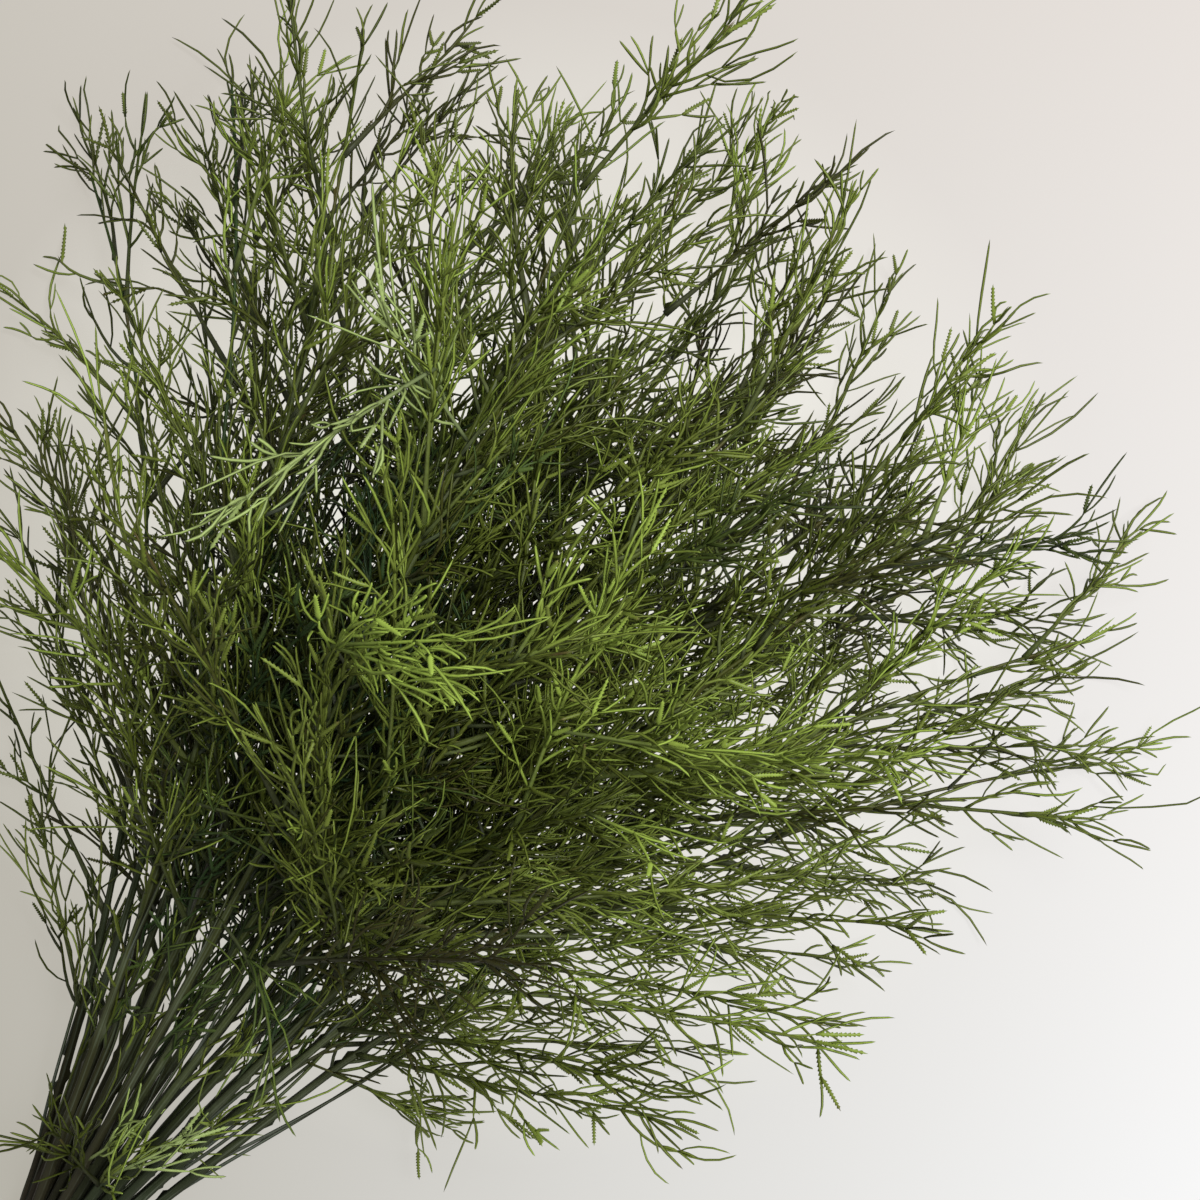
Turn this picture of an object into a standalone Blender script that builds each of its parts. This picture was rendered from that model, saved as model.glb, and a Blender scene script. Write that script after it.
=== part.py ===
"""A bunch of dill lying on its side: stems in a band near their cut ends, fanned out into feathery fronds.

+X runs from the band to the tips and +Z is up. The origin is on the surface, under the middle of the band.
"""

import math
import random

import bmesh
import bpy
from mathutils import Vector
from mathutils.geometry import convex_hull_2d

MM = 0.001

# The bunch as a whole
STEMS_IN_LAYER = (4, 5, 6, 5, 4)  # from the bottom layer up, where the band holds them
FAN_LENGTH = 334 * MM  # from the band to the top of a middle stem
OUTER_STEM_SHARE = 0.95  # of that, for the outermost stems
CUT_LENGTH = 72 * MM  # from the band back to the cut ends
CUT_SPREAD = 0.45  # by how much the stems part from the band to their cut ends, as a share of its width
FAN_ANGLE = 14.0  # degrees to each side, as the stems leave the band
OUTWARD_BEND = 38.0  # degrees more by the tips of the outermost stems
LAYER_RISE = (0.0, 6.0, 11.5, 17.0, 22.0)  # degrees above the surface, for each layer
OUTER_RISE_SHARE = 0.55  # of that, for the outermost stems
TIP_SAG = 14.0  # degrees below the level, towards the tips of the raised stems

# Stems
STEM_RADIUS = 1.7 * MM  # at the band
STEM_TIP_RADIUS = 0.75 * MM
STEM_GAP = 0.4 * MM  # between stems in the band
STEM_SIDES = 5
FIRST_NODE = 3  # of a stem's points: those before it are its cut end and the band's two sides
LOW_NODE = 50 * MM  # beyond the band: a node that is bare on most stems
FIRST_BRANCH = (0.30, 0.38)  # share of the length beyond the band, in the bottom and the top layer
LAST_BRANCH = 0.93
BRANCHES = 8
LOW_SPRAYS = {  # stem: how far its low node is from the band, then the spray's side, angle and length
    21: (42 * MM, 2, 50.0, 36 * MM),
    14: (72 * MM, 1, 34.0, 54 * MM),
    9: (98 * MM, 4, 70.0, 36 * MM),
}

# Branches, and the twigs on them
BRANCH_LENGTH = (106 * MM, 48 * MM)  # the lowest and the highest on a stem
BRANCH_ROOT_RADIUS = 1.15 * MM
BRANCH_RADIUS = (0.8 * MM, 0.55 * MM)  # at its first twigs and at its last
BRANCH_ANGLE = (44.0, 30.0)  # degrees from the stem, for the lowest and the highest
BRANCH_NODES = (0.34, 0.60, 0.82)  # shares of its length where its twigs grow
TWIG_LENGTH = (20 * MM, 31 * MM)  # on the longest branches
SHORT_TWIG_SHARE = 0.5  # of that, on the shortest
TWIG_RADIUS = (0.9 * MM, 0.2 * MM)  # at its root and near its tip
TWIG_ANGLE = (24.0, 36.0)
NODE_HALF = 1.1 * MM  # half the height of the face that a branch or a twig grows from

# The band
BAND_WIDTH = 6.6 * MM
BAND_TURNS = 3
BAND_THICKNESS = 1.3 * MM
BAND_GROOVE = 0.45 * MM  # between its turns
BAND_GAP = 0.3 * MM  # between it and the stems

# Keeping limbs off the surface and apart
SURFACE_GAP = 0.35 * MM  # leaves room for a limb's corners where it slopes
DEEPEST_BRANCH = 18 * MM  # a branch that would go further into the surface grows elsewhere
DEEPEST_TWIG = 8 * MM
SAMPLE = 1.2 * MM
CLEARANCE = 0.45 * MM
CELL = 4.5 * MM
TRIES = 14
ROOT_REACH = 7 * MM  # a limb may touch its own stem this near its root

UP = Vector((0, 0, 1))


def clear_scene():
    for old in list(bpy.data.objects):
        bpy.data.objects.remove(old, do_unlink=True)


def mix(a, b, share):
    return a + (b - a) * share


def heading(turn, rise):
    """The direction at these angles from +X in plan and above the surface, in degrees."""
    turn, rise = math.radians(turn), math.radians(rise)
    level = math.cos(rise)
    return Vector((math.cos(turn) * level, math.sin(turn) * level, math.sin(rise)))


def cross_axes(direction):
    """The level direction across a line, and the one that is up from it."""
    across = UP.cross(direction)
    if across.length < 0.05:
        across = Vector((0, 1, 0)).cross(direction)
    across.normalize()
    return across, direction.cross(across)


def sideways(direction, azimuth):
    """The direction out from a line, at an azimuth in degrees: 0 is level, -90 is down."""
    across, up = cross_axes(direction)
    angle = math.radians(azimuth)
    return across * math.cos(angle) + up * math.sin(angle)


class Limb:
    """A stem, branch or twig: the points that it passes through, with its radius at each."""

    def __init__(self, points, radii):
        self.points = points
        self.radii = radii

    def direction(self, i):
        """Its direction at point i, between those of the pieces that meet there."""
        before = self.points[max(i - 1, 0)]
        after = self.points[min(i + 1, len(self.points) - 1)]
        return (after - before).normalized()

    def samples(self, spacing):
        """Points close together along it, each with its radius."""
        for i in range(len(self.points) - 1):
            start, end = self.points[i], self.points[i + 1]
            count = max(1, math.ceil((end - start).length / spacing))
            for k in range(count):
                share = k / count
                yield start.lerp(end, share), mix(self.radii[i], self.radii[i + 1], share)
        yield self.points[-1], self.radii[-1]


class Space:
    """The places that limbs already take, so that no stem grows through another."""

    def __init__(self):
        self.cells = {}

    @staticmethod
    def cell(point):
        return tuple(math.floor(c / CELL) for c in point)

    def take(self, limb, stem):
        for point, radius in limb.samples(SAMPLE):
            self.cells.setdefault(self.cell(point), []).append((point, radius, stem))

    def is_free(self, limb, stem):
        root = limb.points[0]
        for point, radius in limb.samples(SAMPLE):
            near_root = (point - root).length < ROOT_REACH
            x, y, z = self.cell(point)
            for i in (x - 1, x, x + 1):
                for j in (y - 1, y, y + 1):
                    for k in (z - 1, z, z + 1):
                        for other, thick, owner in self.cells.get((i, j, k), ()):
                            if near_root and owner == stem:
                                continue
                            if (point - other).length < radius + thick + CLEARANCE:
                                return False
        return True


def bundle_places():
    """Where each stem passes through the band: y, z, its share across the bundle (-1 to 1), and its layer."""
    pitch = 2 * STEM_RADIUS + STEM_GAP
    lowest = BAND_THICKNESS + BAND_GAP + STEM_RADIUS
    half_width = (max(STEMS_IN_LAYER) - 1) / 2
    places = []
    for layer, count in enumerate(STEMS_IN_LAYER):
        height = lowest + layer * pitch * math.sin(math.radians(60))
        for k in range(count):
            from_middle = k - (count - 1) / 2
            places.append((from_middle * pitch, height, from_middle / half_width, layer))
    return places


def stem_limb(number, place):
    """The stem from its cut end, through the band and past each of its nodes, to its top."""
    y, z, share, layer = place
    draw = random.Random(number)
    length = FAN_LENGTH * mix(1, OUTER_STEM_SHARE, share * share) * draw.uniform(0.94, 1.04)
    cut = CUT_LENGTH * draw.uniform(0.92, 1.06)
    fan = FAN_ANGLE * share + draw.uniform(-1.2, 1.2)
    bend = OUTWARD_BEND * share + draw.uniform(-4, 4)
    rise = LAYER_RISE[layer] * mix(1, OUTER_RISE_SHARE, share * share)
    sag = TIP_SAG * min(1, rise / LAYER_RISE[1]) + draw.uniform(-3, 3)
    points = [
        Vector((-cut, y * (1 + CUT_SPREAD), z)),
        Vector((-BAND_WIDTH, y, z)),
        Vector((BAND_WIDTH, y, z)),
    ]
    radii = [STEM_RADIUS * 1.1, STEM_RADIUS, STEM_RADIUS]
    low_node = LOW_SPRAYS[number][0] if number in LOW_SPRAYS else LOW_NODE
    first = mix(*FIRST_BRANCH, layer / (len(STEMS_IN_LAYER) - 1))
    stops = [low_node / length]
    for k in range(BRANCHES):
        stops.append(mix(first, LAST_BRANCH, (k + draw.uniform(-0.3, 0.3)) / (BRANCHES - 1)))
    stops.append(1.0)
    at = BAND_WIDTH / length
    for stop in stops:
        middle = (at + stop) / 2
        way = heading(fan + bend * middle**1.6, rise - (rise + sag) * middle**1.8)
        point = points[-1] + way * (stop - at) * length
        radius = mix(STEM_RADIUS, STEM_TIP_RADIUS, stop)
        point.z = max(point.z, radius + SURFACE_GAP)
        points.append(point)
        radii.append(radius)
        at = stop
    return Limb(points, radii)


def side_limb(root, parent_way, side, angle, turn_back, sag, stops, length, radii):
    """A branch or a twig: it leaves its parent at an angle, then turns towards the parent's way, and sags."""
    angle = math.radians(angle)
    start = parent_way * math.cos(angle) + side * math.sin(angle)
    points = [root]
    at = 0.0
    for stop, radius in zip(stops, radii[1:]):
        middle = (at + stop) / 2
        way = start.lerp(parent_way, turn_back * middle) - UP * sag * middle
        point = points[-1] + way.normalized() * (stop - at) * length
        point.z = max(point.z, radius + SURFACE_GAP)
        points.append(point)
        at = stop
    return Limb(points, radii)


def dips(limb, depth):
    """Whether the limb sets off so steeply downwards that it would end this deep under the surface."""
    first, last = limb.points[0], limb.points[-1]
    return first.z + limb.direction(0).z * (last - first).length < -depth


def branch_limb(stem, number, node, space):
    """The branch at one of the stem's nodes, with its azimuth, or None where there is no room for it."""
    way = stem.direction(FIRST_NODE + node)
    share = max(0, node - 1) / (BRANCHES - 1)
    draw = random.Random(1000 + number * 50 + node)
    for attempt in range(TRIES):
        if node == 0:
            _, side, angle, length = LOW_SPRAYS[number]
        else:
            side = 2 * node + number + attempt
            angle = mix(*BRANCH_ANGLE, share) + draw.uniform(-6, 6)
            length = mix(*BRANCH_LENGTH, share) * draw.uniform(0.85, 1.1) * mix(1, 0.75, attempt / TRIES)
        azimuth = -90 + side % STEM_SIDES * 360 / STEM_SIDES
        limb = side_limb(
            stem.points[FIRST_NODE + node],
            way,
            sideways(way, azimuth),
            angle,
            draw.uniform(-0.5, 0.4),
            draw.uniform(0.05, 0.3),
            (*BRANCH_NODES, 1.0),
            length,
            [BRANCH_ROOT_RADIUS, *(mix(*BRANCH_RADIUS, s) for s in (0, 0.5, 1)), TWIG_RADIUS[1]],
        )
        if not dips(limb, DEEPEST_BRANCH) and space.is_free(limb, number):
            space.take(limb, number)
            return limb, azimuth
    return None


def twig_limb(branch, node, azimuth, seed, number, space):
    """The twig on one side of a branch's node, or None where there is no room for it."""
    way = branch.direction(node)
    draw = random.Random(seed)
    reach = (branch.points[-1] - branch.points[0]).length
    fullness = mix(SHORT_TWIG_SHARE, 1, min(1, reach / BRANCH_LENGTH[0]))
    for attempt in range(TRIES // 2):
        limb = side_limb(
            branch.points[node],
            way,
            sideways(way, azimuth),
            draw.uniform(*TWIG_ANGLE),
            draw.uniform(0.0, 0.3),
            0.1,
            (1.0,),
            draw.uniform(*TWIG_LENGTH) * fullness * mix(1, 0.6, attempt / TRIES),
            TWIG_RADIUS,
        )
        if not dips(limb, DEEPEST_TWIG) and space.is_free(limb, number):
            space.take(limb, number)
            return limb
    return None


def grow_bunch():
    """Every stem with its branches, and every branch with its twigs. Nodes are grown in turn on all stems."""
    space = Space()
    plants = []
    for number, place in enumerate(bundle_places()):
        stem = stem_limb(number, place)
        space.take(stem, number)
        plants.append({"stem": stem, "branches": []})
    for node in range(BRANCHES + 1):
        for number, plant in enumerate(plants):
            if node > 0 or number in LOW_SPRAYS:
                found = branch_limb(plant["stem"], number, node, space)
                if found:
                    branch = {"limb": found[0], "azimuth": found[1], "node": node, "twigs": []}
                    plant["branches"].append(branch)
    for number, plant in enumerate(plants):
        for branch in plant["branches"]:
            for node in range(1, len(BRANCH_NODES) + 1):
                level = 90 * ((branch["node"] + node) % 2)
                for azimuth in (level, level + 180):
                    seed = 100000 + ((number * 20 + branch["node"]) * 5 + node) * 400 + azimuth
                    twig = twig_limb(branch["limb"], node, azimuth, seed, number, space)
                    if twig:
                        branch["twigs"].append({"limb": twig, "azimuth": azimuth, "node": node})
    return plants


def ring(centre, direction, radius, sides):
    """Corners round a line, anticlockwise seen from its far end, with a flat side underneath."""
    step = 360 / sides
    return [centre + sideways(direction, -90 + step * (k + 0.5)) * radius for k in range(sides)]


def facing(faces, way):
    """The face turned most nearly to a direction, among those that nothing grows from yet."""
    return max((face for face in faces if face.is_valid), key=lambda face: face.normal.dot(way))


def extend(mesh, end, corners):
    """Extrudes an end face to a ring of corners. Returns the new end face and the faces between."""
    made = bmesh.ops.extrude_face_region(mesh, geom=[end, *end.edges])["geom"]
    new_end = next(g for g in made if isinstance(g, bmesh.types.BMFace))
    verts = [loop.vert for loop in new_end.loops]
    count = len(verts)

    def twist(shift):
        return sum((v.co - corners[(i + shift) % count]).length for i, v in enumerate(verts))

    shift = min(range(count), key=twist)
    for i, vert in enumerate(verts):
        vert.co = corners[(i + shift) % count]
    new_end.normal_update()
    between = [f for edge in new_end.edges for f in edge.link_faces if f != new_end]
    for face in between:
        face.normal_update()
    return new_end, between


def grow_spike(mesh, face, tip):
    bmesh.ops.poke(mesh, faces=[face])["verts"][0].co = tip


def grow_node(mesh, end, limb, i, sides):
    """Extrudes a limb to its node i as a pair of rings. Returns the end face and those between the rings."""
    way = limb.direction(i)
    low = ring(limb.points[i] - way * NODE_HALF, way, limb.radii[i], sides)
    high = ring(limb.points[i] + way * NODE_HALF, way, limb.radii[i], sides)
    end, _ = extend(mesh, end, low)
    return extend(mesh, end, high)


def grow_branch(mesh, face, branch):
    """Extrudes a branch from a face of the stem, with a pointed twig from a face at each of its nodes."""
    limb = branch["limb"]
    for node in range(1, len(BRANCH_NODES) + 1):
        face, between = grow_node(mesh, face, limb, node, 4)
        way = limb.direction(node)
        for twig in branch["twigs"]:
            if twig["node"] == node:
                root = facing(between, sideways(way, twig["azimuth"]))
                grow_spike(mesh, root, twig["limb"].points[-1])
    grow_spike(mesh, face, limb.points[-1])


def plant_mesh(plant):
    """One leafy stem as one closed surface: each limb is drawn out of a face of the limb that carries it."""
    mesh = bmesh.new()
    stem = plant["stem"]
    first = ring(stem.points[0], stem.direction(0), stem.radii[0], STEM_SIDES)
    end = mesh.faces.new([mesh.verts.new(corner) for corner in first])
    end.normal_update()
    for i in range(1, FIRST_NODE):
        corners = ring(stem.points[i], stem.direction(i), stem.radii[i], STEM_SIDES)
        end, _ = extend(mesh, end, corners)
    for node in range(BRANCHES + 1):
        end, between = grow_node(mesh, end, stem, FIRST_NODE + node, STEM_SIDES)
        for branch in plant["branches"]:
            if branch["node"] == node:
                way = stem.direction(FIRST_NODE + node)
                grow_branch(mesh, facing(between, sideways(way, branch["azimuth"])), branch)
    grow_spike(mesh, end, stem.points[-1])
    return mesh


def band_outline(offset):
    """The line round the stems in the band, at a distance from their middles: flat runs and round corners."""
    centres = [Vector(place[:2]) for place in bundle_places()]
    hull = [centres[i] for i in convex_hull_2d(centres)]
    outline = []
    for i, corner in enumerate(hull):
        normals = []
        for start, end in ((hull[i - 1], corner), (corner, hull[(i + 1) % len(hull)])):
            run = end - start
            normals.append(math.atan2(-run.x, run.y))
        turn = (normals[1] - normals[0]) % (2 * math.pi)
        for share in (0, 0.5, 1) if turn > 0.3 else (0, 1):
            angle = normals[0] + turn * share
            outline.append(corner + Vector((math.cos(angle), math.sin(angle))) * offset)
    return outline


def band_mesh():
    """An elastic band in turns side by side, pulled round the stems, with a flat run underneath."""
    mesh = bmesh.new()
    inner = STEM_RADIUS + BAND_GAP
    turn = BAND_WIDTH / BAND_TURNS
    sections = []
    for k in range(BAND_TURNS):
        start = -BAND_WIDTH / 2 + k * turn
        for x, height in ((0.04, -BAND_GROOVE), (0.2, 0), (0.8, 0), (0.96, -BAND_GROOVE)):
            sections.append((start + x * turn, inner + BAND_THICKNESS + height))
    sections.append((sections[-1][0], inner))
    sections.append((sections[0][0], inner))
    loops = []
    for x, offset in sections:
        verts = [mesh.verts.new((x, p.x, p.y)) for p in band_outline(offset)]
        loops.append([mesh.edges.new((verts[i - 1], verts[i])) for i in range(len(verts))])
    for i, loop in enumerate(loops):
        bmesh.ops.bridge_loops(mesh, edges=loops[i - 1] + loop)
    bmesh.ops.recalc_face_normals(mesh, faces=mesh.faces)
    return mesh


def finish_material(name, colour, roughness):
    material = bpy.data.materials.new(name)
    material.use_nodes = True
    shader = material.node_tree.nodes["Principled BSDF"]
    shader.inputs["Base Color"].default_value = (*colour, 1)
    shader.inputs["Roughness"].default_value = roughness
    shader.inputs["Metallic"].default_value = 0
    return material


def add_object(name, mesh, material, parent):
    data = bpy.data.meshes.new(name)
    mesh.to_mesh(data)
    mesh.free()
    made = bpy.data.objects.new(name, data)
    made.data.materials.append(material)
    made.parent = parent
    bpy.context.scene.collection.objects.link(made)
    return made


def main():
    clear_scene()
    bunch = bpy.data.objects.new("dill_bunch", None)
    bpy.context.scene.collection.objects.link(bunch)
    green = finish_material("dill_green", (0.075, 0.13, 0.025), 0.5)
    rubber = finish_material("band_rubber", (0.55, 0.36, 0.16), 0.6)
    for n, plant in enumerate(grow_bunch()):
        add_object(f"leafy_stem_{n + 1:02d}", plant_mesh(plant), green, bunch)
    add_object("band", band_mesh(), rubber, bunch)


main()
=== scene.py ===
"""The looks of a bunch of dill that lies on its side: ridged stems, side branches, twigs with thread-like
leaves that fork at their ends, a few bright or pale sprays on top, and the rubber band round the stems.

The stems, branches and main twigs grow by the same rule as the solids, so they lie where the solids are.
+X runs from the band to the tips, +Y is the left side seen from above, and +Z is up.
"""

import math
import random

import bmesh
import bpy
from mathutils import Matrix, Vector
from mathutils.geometry import convex_hull_2d, interpolate_bezier


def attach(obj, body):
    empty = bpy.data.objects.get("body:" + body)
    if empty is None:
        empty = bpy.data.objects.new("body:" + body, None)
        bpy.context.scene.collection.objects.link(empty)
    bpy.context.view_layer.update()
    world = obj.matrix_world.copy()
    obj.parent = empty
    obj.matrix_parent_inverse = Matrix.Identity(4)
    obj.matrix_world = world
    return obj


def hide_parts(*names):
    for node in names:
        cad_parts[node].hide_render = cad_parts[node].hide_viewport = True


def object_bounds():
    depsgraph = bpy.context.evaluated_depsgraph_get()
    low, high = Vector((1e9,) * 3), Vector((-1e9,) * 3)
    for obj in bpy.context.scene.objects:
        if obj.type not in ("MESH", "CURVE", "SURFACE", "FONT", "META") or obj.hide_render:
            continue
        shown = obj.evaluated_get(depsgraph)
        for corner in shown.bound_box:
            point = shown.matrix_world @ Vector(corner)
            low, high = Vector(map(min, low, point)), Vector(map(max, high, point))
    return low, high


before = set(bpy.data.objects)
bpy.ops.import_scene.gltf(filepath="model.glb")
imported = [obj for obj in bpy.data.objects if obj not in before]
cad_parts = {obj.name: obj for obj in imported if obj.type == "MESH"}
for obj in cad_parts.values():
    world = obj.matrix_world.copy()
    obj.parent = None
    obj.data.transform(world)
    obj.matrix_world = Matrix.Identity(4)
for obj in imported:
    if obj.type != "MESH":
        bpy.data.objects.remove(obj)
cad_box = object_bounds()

MM = 0.001

# The bunch as a whole, as in the solids
STEMS_IN_LAYER = (4, 5, 6, 5, 4)  # from the bottom layer up, where the band holds them
FAN_LENGTH = 334 * MM  # from the band to the top of a middle stem
OUTER_STEM_SHARE = 0.95  # of that, for the outermost stems
CUT_LENGTH = 72 * MM  # from the band back to the cut ends
CUT_SPREAD = 0.45  # by how much the stems part from the band to their cut ends, as a share of its width
FAN_ANGLE = 14.0  # degrees to each side, as the stems leave the band
OUTWARD_BEND = 38.0  # degrees more by the tips of the outermost stems
LAYER_RISE = (0.0, 6.0, 11.5, 17.0, 22.0)  # degrees above the surface, for each layer
OUTER_RISE_SHARE = 0.55  # of that, for the outermost stems
TIP_SAG = 14.0  # degrees below the level, towards the tips of the raised stems
STEM_RADIUS = 1.7 * MM  # at the band
STEM_TIP_RADIUS = 0.75 * MM
STEM_GAP = 0.4 * MM  # between stems in the band
STEM_AZIMUTHS = 5  # directions round a stem that its branches take in turn
FIRST_NODE = 3  # of a stem's points: those before it are its cut end and the band's two sides
LOW_NODE = 50 * MM  # beyond the band: a node that is bare on most stems
FIRST_BRANCH = (0.30, 0.38)  # share of the length beyond the band, in the bottom and the top layer
LAST_BRANCH = 0.93
BRANCHES = 8
LOW_SPRAYS = {  # stem: how far its low node is from the band, then the spray's side, angle and length
    21: (42 * MM, 2, 50.0, 36 * MM),
    14: (72 * MM, 1, 34.0, 54 * MM),
    9: (98 * MM, 4, 70.0, 36 * MM),
}

# Branches and the main twigs on them, as in the solids
BRANCH_LENGTH = (106 * MM, 48 * MM)  # the lowest and the highest on a stem
BRANCH_ROOT_RADIUS = 1.15 * MM
BRANCH_RADIUS = (0.8 * MM, 0.55 * MM)  # at its first twigs and at its last
BRANCH_ANGLE = (44.0, 30.0)  # degrees from the stem, for the lowest and the highest
BRANCH_NODES = (0.34, 0.60, 0.82)  # shares of its length where its main twigs grow
TWIG_LENGTH = (20 * MM, 31 * MM)  # on the longest branches
SHORT_TWIG_SHARE = 0.5  # of that, on the shortest
TWIG_RADIUS = (0.9 * MM, 0.2 * MM)  # at its root and near its tip
TWIG_ANGLE = (24.0, 36.0)
BAND_WIDTH = 6.6 * MM
BAND_THICKNESS = 1.3 * MM
BAND_GAP = 0.3 * MM  # between it and the stems
SURFACE_GAP = 0.35 * MM
DEEPEST_BRANCH = 18 * MM  # a branch that would go further into the surface grows elsewhere
DEEPEST_TWIG = 8 * MM
SAMPLE = 1.2 * MM
CLEARANCE = 0.45 * MM
CELL = 4.5 * MM
TRIES = 14
ROOT_REACH = 7 * MM  # a limb may touch its own stem this near its root

# How far single ones stray from that, as in the solids: shares of a length, or degrees to either side
BRANCH_SEED = 1000
TWIG_SEED = 100000
STEM_SPREAD = (0.94, 1.04)
CUT_UNEVENNESS = (0.92, 1.06)
FAN_STRAY = 1.2
BEND_STRAY = 4.0
SAG_STRAY = 3.0
NODE_STRAY = 0.3  # of the distance between two nodes
BEND_POWER = 1.6  # how late along a stem it bends outwards, and how late it sags
SAG_POWER = 1.8
CUT_END_SHARE = 1.1  # radius of a cut end, beside that at the band
BRANCH_STRAY = 6.0
BRANCH_SPREAD = (0.85, 1.1)
BRANCH_SHRINK = 0.75  # by the last try to find room for one
BRANCH_TURN = (-0.5, 0.4)  # how far it turns towards its stem's way, as a share
BRANCH_SAG = (0.05, 0.3)  # as a slope
TWIG_TURN = (0.0, 0.3)
TWIG_SAG = 0.1
TWIG_SHRINK = 0.6

# Stems as they look
STALK_SEED = 7000
STALK_PROFILE = (  # its radius, by share of its length beyond the band
    (0.0, 1.45 * MM),
    (0.33, 0.95 * MM),
    (0.55, 0.55 * MM),
    (1.0, 0.34 * MM),
)
STALK_SIDES = 12
STALK_RING = 4 * MM  # between rings
RIDGE = 0.13  # how far every other corner stands out, as a share of the radius
PITH_INSET = 0.3 * MM  # of the pale pith at a cut end
PITH_DEPTH = 0.2 * MM
PITH_GRAIN = 0.75  # the place of its rim across the stem, as a share of the radius
PITH_WOOD = 2.0  # how the finish tells it from the rest
KNOT = 0.12  # how much a stem thickens where a branch leaves it
KNOT_REACH = 2.4 * MM
STALK_UNEVENNESS = 0.05
NUB_SHARE = 0.4  # of the rings of a stem that carry a small nub
NUB = (0.5 * MM, 1.1 * MM)
NUB_LEAN = 0.5  # how much it points along the stem, as a slope
LOWEST_NUB = 4  # rings from the cut end
STALK_TONE = (0.05, 0.25)
STALK_HUE_SPREAD = 0.15
STALK_WOOD = (1.15, 0.0)  # at its root and its tip
RUNNERS = 2  # thin side stems that set off along the bare part of each stem
RUNNER_LENGTH = (80 * MM, 140 * MM)
RUNNER_ANGLE = (2.0, 8.0)
RUNNER_BARE = 0.6  # of its length

# How twigs and leaves are spaced along what they grow on, as shares of their pitch
FIRST_STEP = (0.2, 0.9)  # from where they may begin to the first
STEP = (0.7, 1.3)  # from one to the next

# Branches as they look, and the fine twigs between the main ones
FOLIAGE_SEED = 5000
BRANCH_TAPER = (0.6 * MM, 0.3 * MM)  # its radius, from its root to its tip
BRANCH_FOOT = (0.9 * MM, 0.5 * MM)  # and its radius near its root, where that is more
BRANCH_FOOT_SHARE = 0.25  # of its length, over which it would narrow so
BRANCH_RING = 4.5 * MM
BRANCH_SIDES = 6
BRANCH_TONE = -0.2  # beside its leaves'
BRANCH_WOOD = (0.6, 0.2)
BRANCH_LEAF_PITCH = 7 * MM
TWIG_PITCH = (6.0 * MM, 10.0 * MM)  # along the lowest branches and the highest
TWIGS_UNTIL = 0.72  # share of a branch's length: beyond it, there are only leaves between its main twigs
FINE_TWIG_LENGTH = (15 * MM, 27 * MM)
FINE_TWIG_ANGLE = (16.0, 36.0)
FINE_TWIG_ROLL = 30.0
FINE_TWIG_TAPER = (1.1, 0.8)  # of their length, from the branch's root to its tip
AXIS_SHARE = 0.62  # of a twig's length: the rest is its fork
AXIS_RADIUS = (0.40 * MM, 0.30 * MM)
AXIS_RING = 3.5 * MM
TWIG_SIDES = 5
TWIG_BOW = (0.18, 0.6)  # how much a twig curves, as a slope
FORK_OVERLAP = 1 * MM
TWIG_TONE = -0.14  # beside its leaves'
TWIG_TONE_SPREAD = 0.05  # between the twigs of a branch
TWIG_WOOD = (0.4, 0.1)
TWIG_ROLL = 35.0  # degrees by which the plane of a twig's leaves strays from level

# Small branches that grow straight out of the stems
SPRIGS = (8, 8, 8, 8, 7, 5, 2)  # on a middle stem, between each two main branches
OUTER_SPRIGS = (0.40, 0.12)  # of that number, on the outermost stems to the right and to the left
OPENING = (1.25, 2.2)  # how much further apart twigs and leaves are on the outermost stems, right and left
BARE_SIDE = -0.2  # share across the bundle: the stems to the right of it are barer low down
LOW_SPRIGS = 0.4  # of their number, above the lowest branch of those stems
SPRIG_LENGTH = (28 * MM, 60 * MM)
HIGH_SPRIG_SHARE = 0.6  # of that length, at the top of a stem
SPRIG_ANGLE = (12.0, 98.0)  # on a middle stem
OUTER_SPRIG_ANGLE = 68.0  # the widest on an outermost one
SPRIG_CURVE = 0.8  # its length along its curve, as a share
SPRIG_TURN_BACK = (0.0, 0.9)  # how far its middle turns towards its stem, as a share
SPRIG_TURN_AWAY = (-0.5, 0.8)  # how far its end does from there: below 0 is away
SPRIG_BEND = (0.32, 0.8)  # how much its middle and its end stray sideways, as a slope
TINT_PLACE = 0.6  # of the way along one, where its colour is read
SPRIG_RING = 4 * MM
SPRIG_RADIUS = (0.52 * MM, 0.30 * MM)
SPRIG_WOOD = (0.6, 0.1)
SPRIG_BARE = 0.1  # share of its length without leaves
SPRIG_PITCH = (11.0 * MM, 6.5 * MM)  # between its twigs, and between its leaves
SPRIG_ROLL = 40.0
SPRIG_TWIGS_UNTIL = 0.8
SPRIG_TWIG_LENGTH = (12 * MM, 20 * MM)
SPRIG_TWIG_ANGLE = (18.0, 38.0)
DEEPEST_SPRIG = 4 * MM  # one that would end further under the surface is turned upwards
LOW_SPRIG_PLACES = ((0.2, 0.6), (0.6, 1.0))  # shares of the stretch from the low node to the lowest branch
LOW_SPRIG_ANGLE = (10.0, 34.0)
LOW_SPRIG_LENGTH = (14 * MM, 40 * MM)
LOW_SPRAY_SPRIGS = 4  # more of them where a low spray grows
LOW_SPRAY_ANGLE = (24.0, 60.0)
LOW_SPRAY_LENGTH = (20 * MM, 34 * MM)
TOP_RINGS = 8  # at a stem's top, with leaves on them

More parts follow.
